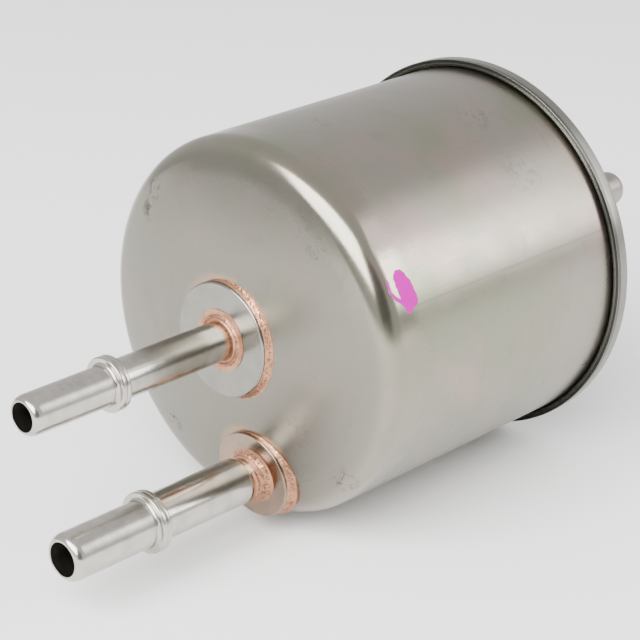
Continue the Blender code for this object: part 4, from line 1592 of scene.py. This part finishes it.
@dataclass
class Coil:
    """Round wire wound into a coil, at the height where the frame has its spring."""

    name: str
    node: str
    radius: float
    wire_radius: float
    turns: float
    turn_steps: int = 48
    wire_sides: int = 16

    def make(self, finish: bpy.types.Material, moving: bool = False) -> bpy.types.Object:
        """Wind the coil.

        Args:
            finish: the wire's finish.
            moving: the coil runs from housing to valve; it is put on no body, and its place is
                baked into its mesh.

        Returns:
            The coil.
        """
        low, high = (corner.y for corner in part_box(self.node))
        start = bpy.data.meshes.new("wire")
        kinds = {"Turns": float, "Radius": float, "Wire": float, "Height": float}
        tree = Builder("wound_wire", {**kinds, "Finish": bpy.types.Material})
        path = tree.shape(
            "GeometryNodeCurveSpiral",
            {},
            {
                "Resolution": self.turn_steps, "Rotations": tree.given("Turns"),
                "Start Radius": tree.given("Radius"), "End Radius": tree.given("Radius"),
                "Height": tree.given("Height"),
            },
        )
        section = tree.shape(
            "GeometryNodeCurvePrimitiveCircle",
            {},
            {"Resolution": self.wire_sides, "Radius": tree.given("Wire")},
        )
        wire = tree.shape(
            "GeometryNodeCurveToMesh",
            {},
            {"Curve": path, "Profile Curve": section, "Fill Caps": True},
        )
        tree.end(wire, True)
        sizes = {
            "Turns": self.turns, "Radius": self.radius, "Wire": self.wire_radius,
            "Height": high - low - 2.0 * self.wire_radius, "Finish": finish,
        }
        place = along(Facing.REAR, (0.0, low + self.wire_radius, 0.0))
        thing = tree.build(self.name, start, sizes, place)
        if not moving:
            return settle(thing, [self.node])
        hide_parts(self.node)
        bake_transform(thing)
        LOG.info("%s: %d faces, from housing to valve", thing.name, len(thing.data.polygons))
        return thing


class Insides:
    """Finishes of the frame's own pieces, whose shapes stay as they are."""

    def __init__(self) -> None:
        """Choose the finish of each piece."""
        rubber = Grained((0.030, 0.030, 0.032), (0.045, 0.044, 0.043), 0.62, 0.0, 2600.0, 0.00002)
        compound = Grained((0.020, 0.020, 0.020), (0.034, 0.033, 0.031), 0.72, 0.0, 1800.0, 0.00003)
        sheet = Grained((0.55, 0.55, 0.53), (0.46, 0.46, 0.44), 0.32, 1.0)
        gilt = Grained((0.60, 0.52, 0.33), (0.50, 0.45, 0.31), 0.34, 1.0)
        wire = Grained((0.36, 0.36, 0.37), (0.29, 0.29, 0.30), 0.30, 1.0, 4000.0)
        brass = Grained((0.66, 0.49, 0.24), (0.56, 0.41, 0.20), 0.26, 1.0)
        ball = Grained((0.58, 0.58, 0.59), (0.52, 0.52, 0.53), 0.10, 1.0, 6000.0, 0.000003)
        cloth = Woven((0.060, 0.052, 0.045), (0.022, 0.020, 0.018), 0.0009)
        screen = Woven((0.50, 0.50, 0.49), (0.05, 0.05, 0.05), 0.0005, 0.35, 1.0)
        self.wire = wire.make("spring_wire_finish")
        self.finishes = {
            "seam_gasket": compound.make("sealing_compound_finish"),
            "regulator_diaphragm": cloth.make("diaphragm_cloth_finish"),
            "regulator_screen": screen.make("screen_mesh_finish"),
            "valve_ball": ball.make("ball_finish"),
        }
        for finish, label, nodes in (
            (rubber, "rubber_finish", ("front_grommet", "rear_grommet", "regulator_o_ring")),
            (sheet, "plated_sheet_finish", ("element_front_cap", "element_rear_cap")),
            (gilt, "passivated_sheet_finish", ("regulator_cover", "regulator_body")),
            (brass, "valve_brass_finish", ("valve_carrier", "spring_seat", "ball_holder")),
        ):
            made = finish.make(label)
            self.finishes.update(dict.fromkeys(nodes, made))

    def dress(self) -> None:
        """Put each finish on its piece."""
        for node, finish in self.finishes.items():
            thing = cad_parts[node]
            thing.data.materials.clear()
            thing.data.materials.append(finish)
            LOG.info("%s: %s", node, finish.name)


# ---------------------------------------------------------------------------------------------
# Studio
# ---------------------------------------------------------------------------------------------


@dataclass(frozen=True)
class Softbox:
    """Square light that points at the filter."""

    name: str
    place: Triple
    size: Point
    power: float
    colour: Triple = (1.0, 1.0, 1.0)

    def make(self, target: Vector) -> bpy.types.Object:
        """Place the light.

        Args:
            target: the point that it faces.

        Returns:
            The light's object.
        """
        lamp = bpy.data.lights.new(self.name, "AREA")
        lamp.shape = "RECTANGLE"
        lamp.size, lamp.size_y = self.size
        lamp.energy = self.power
        lamp.color = self.colour
        thing = bpy.data.objects.new(self.name, lamp)
        bpy.context.scene.collection.objects.link(thing)
        thing.location = self.place
        thing.rotation_mode = "QUATERNION"
        thing.rotation_quaternion = (target - thing.location).to_track_quat("-Z", "Y")
        return thing


@dataclass
class Studio:
    """Floor, lights and camera."""

    floor_height: float = -0.0407
    floor_colour: Triple = (0.93, 0.93, 0.925)
    sky: float = 1.05
    dim_sky: float = 0.28
    dim_towards: Triple = (0.883, -0.355, 0.305)
    target: Triple = (-0.0059, -0.0082, -0.0077)
    azimuth: float = 43.455
    elevation: float = 22.728
    roll: float = 0.423
    distance: float = 0.4506
    lens: float = 123.08
    floor_half: float = 6.0
    dim_edge: Point = (0.87, 0.95)
    softboxes: tuple[Softbox, ...] = (
        Softbox("side_box", (0.495, 0.480, 0.255), (0.15, 0.30), 1.35),
        Softbox("fill_box", (0.70, 0.85, 0.60), (0.80, 0.70), 4.0),
        Softbox("key_box", (0.22, -0.84, 0.76), (1.36, 0.86), 46.0),
    )

    def make_floor(self) -> bpy.types.Object:
        """Plain pale floor.

        Returns:
            The floor.
        """
        shader = Shader("floor_paper")
        shader.put("Base Color", (*self.floor_colour, 1.0))
        shader.put("Roughness", 0.9)
        mesh = bpy.data.meshes.new("floor")
        half = self.floor_half
        edges = [(-half, -half), (half, -half), (half, half), (-half, half)]
        mesh.from_pydata([(x, y, self.floor_height) for x, y in edges], [], [(0, 1, 2, 3)])
        mesh.materials.append(shader.material)
        floor = bpy.data.objects.new("floor", mesh)
        bpy.context.scene.collection.objects.link(floor)
        floor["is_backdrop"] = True
        return floor

    def make_sky(self) -> None:
        """Even soft light from all round."""
        world = bpy.data.worlds.new("soft_sky")
        bpy.context.scene.world = world
        world.use_nodes = True
        nodes = Nodes(world.node_tree)
        background = world.node_tree.nodes["Background"]
        way = nodes.node("ShaderNodeTexCoord").outputs["Generated"]
        settings = {"operation": "DOT_PRODUCT"}
        turned = Vector(self.dim_towards).normalized()
        facing = nodes.value("ShaderNodeVectorMath", settings, {0: way, 1: tuple(turned)}, "Value")
        light = self.sky - facing.step(*self.dim_edge) * (self.sky - self.dim_sky)
        nodes.connect(background.inputs["Strength"], light)
        background.inputs["Color"].default_value = (1.0, 1.0, 1.0, 1.0)

    def make_camera(self) -> bpy.types.Object:
        """Camera that looks down at the domed end from the right.

        Returns:
            The camera.
        """
        across = math.radians(self.azimuth)
        up = math.radians(self.elevation)
        back = Vector(
            (
                math.sin(across) * math.cos(up),
                -math.cos(across) * math.cos(up),
                math.sin(up),
            )
        )
        data = bpy.data.cameras.new("camera")
        data.lens = self.lens
        data.sensor_width = 36.0
        data.clip_start = 0.01
        data.clip_end = 50.0
        camera = bpy.data.objects.new("camera", data)
        bpy.context.scene.collection.objects.link(camera)
        turn = (-back).to_track_quat("-Z", "Y").to_matrix().to_4x4()
        spin = Matrix.Rotation(math.radians(self.roll), 4, "Z")
        camera.matrix_world = (
            Matrix.Translation(Vector(self.target) + back * self.distance) @ turn @ spin
        )
        bpy.context.scene.camera = camera
        return camera

    def make(self) -> None:
        """Set up the whole studio."""
        self.make_camera()
        self.make_floor()
        self.make_sky()
        for box in self.softboxes:
            box.make(Vector(self.target))


def corners() -> list[list[float]]:
    """Return the shown object's lowest and highest corner as plain lists."""
    return [[float(number) for number in corner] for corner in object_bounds()]


def make_ports(turner: Turner, housing: Housing) -> list[Port]:
    """Place the three spigots on the end walls.

    Args:
        turner: what turns their outlines.
        housing: the can and the cover that they stand on.

    Returns:
        The return, the inlet and the outlet.
    """
    apex = housing.dome_centre - housing.dome
    crown = housing.cover_centre + housing.cover_dome
    clock = math.radians(INLET_CLOCK)
    seat = (
        INLET_OFFSET * math.sin(clock),
        housing.dome_centre - math.sqrt(housing.dome**2 - INLET_OFFSET**2),
        -INLET_OFFSET * math.cos(clock),
    )
    return [
        Port(
            "return", turner, Facing.FRONT, (0.0, apex, 0.0), housing.dome,
            0.00397, 0.00285, 0.0054, 0.0499, 0.0295, 0.00397, 0.0, 0.0086, 0.0116, 0.0010,
            boss_braze=0.0012, tube_braze=(0.0023, 0.0012), thick_at=0.05, seed=1.0,
        ),
        Port(
            "inlet", turner, Facing.FRONT, seat, housing.dome,
            0.00476, 0.0034, 0.00615, 0.0500, 0.0293, 0.00405, 0.0040, 0.0045, 0.0090, 0.0016,
            lean=math.radians(INLET_LEAN), lean_axis=(math.cos(clock), math.sin(clock), 0.0),
            boss_braze=0.0013, tube_braze=(0.0018, 0.0036), thick_at=0.45,
            ridges=(0.0030, 0.0042), edge_rounding=0.0002, seed=2.0,
        ),
        Port(
            "outlet", turner, Facing.REAR, (0.0, crown, 0.0), housing.cover_dome,
            0.00397, 0.00285, 0.0054, 0.0492, 0.0288, 0.00397, 0.0, 0.0145, 0.0116, 0.0010,
            boss_braze=0.0012, tube_braze=(0.0023, 0.0012), thick_at=1.2, seed=3.0,
        ),
    ]


def can_finish(ports: Sequence[Port]) -> DrawnSteel:
    """Return the can's steel with its scuffs, copper stains and paint.

    Args:
        ports: the return, the inlet and the outlet.

    Returns:
        The finish.
    """
    scuffs = (
        Scuff((-0.0242, -0.0367, 0.0236), 0.0034, 0.95),
        Scuff((-0.0256, -0.0372, 0.0192), 0.0032, 0.95),
        Scuff((0.0174, -0.0370, 0.0273), 0.0044, 0.62),
        Scuff((0.0211, -0.0374, 0.0229), 0.0040, 0.65),
        Scuff((-0.0192, -0.0373, -0.0250), 0.0036, 0.95),
        Scuff((0.0273, -0.0360, -0.0231), 0.0040, 0.90),
        Scuff((0.0184, -0.0391, -0.0141), 0.0060, 0.30),
        Scuff((0.0015, -0.0164, 0.0384), 0.0040, 0.45),
        Scuff((0.0143, 0.0150, 0.0356), 0.0070, 0.32),
        Scuff((0.0270, 0.0141, 0.0273), 0.0080, 0.28),
    )
    stains = tuple(
        Stain(port.seat, port.boss + 0.0002, 0.0018, way)
        for port, way in zip(ports[:2], ((0.35, 0.0, 0.94), (0.1, 0.0, 0.99)), strict=True)
    )
    strokes = (
        Stroke((0.0338, -0.0288, 0.0184), (0.0357, -0.0284, 0.0143), 0.00165),
        Stroke((0.0343, -0.0281, 0.0172), (0.0356, -0.0276, 0.0144), 0.00165),
        Stroke((0.0349, -0.0283, 0.0160), (0.0361, -0.0286, 0.0133), 0.00110),
        Stroke((0.0337, -0.0322, 0.0184), (0.0345, -0.0322, 0.0167), 0.00024),
        Stroke((0.0345, -0.0322, 0.0167), (0.0351, -0.0314, 0.0155), 0.00034),
        Stroke((0.0351, -0.0314, 0.0155), (0.0357, -0.0298, 0.0142), 0.00032),
    )
    return DrawnSteel(scuffs=scuffs, stains=stains, strokes=strokes)


def main() -> None:
    """Build the looks round the frame."""
    logging.basicConfig(level=logging.INFO, format="%(name)s: %(message)s")
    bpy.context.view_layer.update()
    Studio().make()
    turner = Turner()
    housing = Housing(turner)
    ports = make_ports(turner, housing)
    housing.make_can(can_finish(ports).make("drawn_steel_finish"))
    housing.make_cover(SeamSteel().make("cover_steel_finish"))
    bright_tube = TurnedSteel(
        colour=(0.50, 0.472, 0.432), shade=(0.40, 0.378, 0.342), roughness=0.20
    ).make("bright_tube_finish")
    dull_tube = TurnedSteel(
        colour=(0.335, 0.300, 0.274), shade=(0.275, 0.245, 0.222), roughness=0.34
    ).make("dull_tube_finish")
    tube_steels = (bright_tube, bright_tube, dull_tube)
    plain = ((0.276, 0.262, 0.234), (0.240, 0.230, 0.202))
    coppered = ((0.360, 0.262, 0.196), (0.280, 0.215, 0.166))
    tones = (plain, coppered, plain)
    for port, tube_steel, (colour, shade) in zip(ports, tube_steels, tones, strict=True):
        boss_steel = TurnedSteel(
            colour=colour, shade=shade, roughness=0.22, axis=port.seat, flat_rings=True
        ).make(port.name + "_boss_finish")
        edge_copper = CopperBraze(
            axis=port.seat, crest=port.boss + 0.0005, crest_half=0.0005
        ).make(port.name + "_edge_copper_finish")
        foot_copper = CopperBraze(
            axis=port.seat, crest=port.neck + 0.0009, crest_half=0.0006
        ).make(port.name + "_foot_copper_finish")
        port.make_spigot(tube_steel)
        port.make_boss(boss_steel)
        port.make_boss_braze(edge_copper)
        port.make_tube_braze(foot_copper)
    insides = Insides()
    insides.dress()
    element = Element()
    element.make_paper(FilterPaper().make("filter_paper_finish"))
    tinned = Grained((0.52, 0.52, 0.51), (0.44, 0.44, 0.43), 0.30, 1.0)
    element.make_core(tinned.make("core_finish"))
    Coil("element_coil", "element_spring", 0.0120, 0.0009, 2.5).make(insides.wire)
    Coil("regulator_coil", "regulator_spring", 0.0043, 0.0006, 4.0).make(insides.wire, moving=True)


if __name__ == "__main__":
    main()
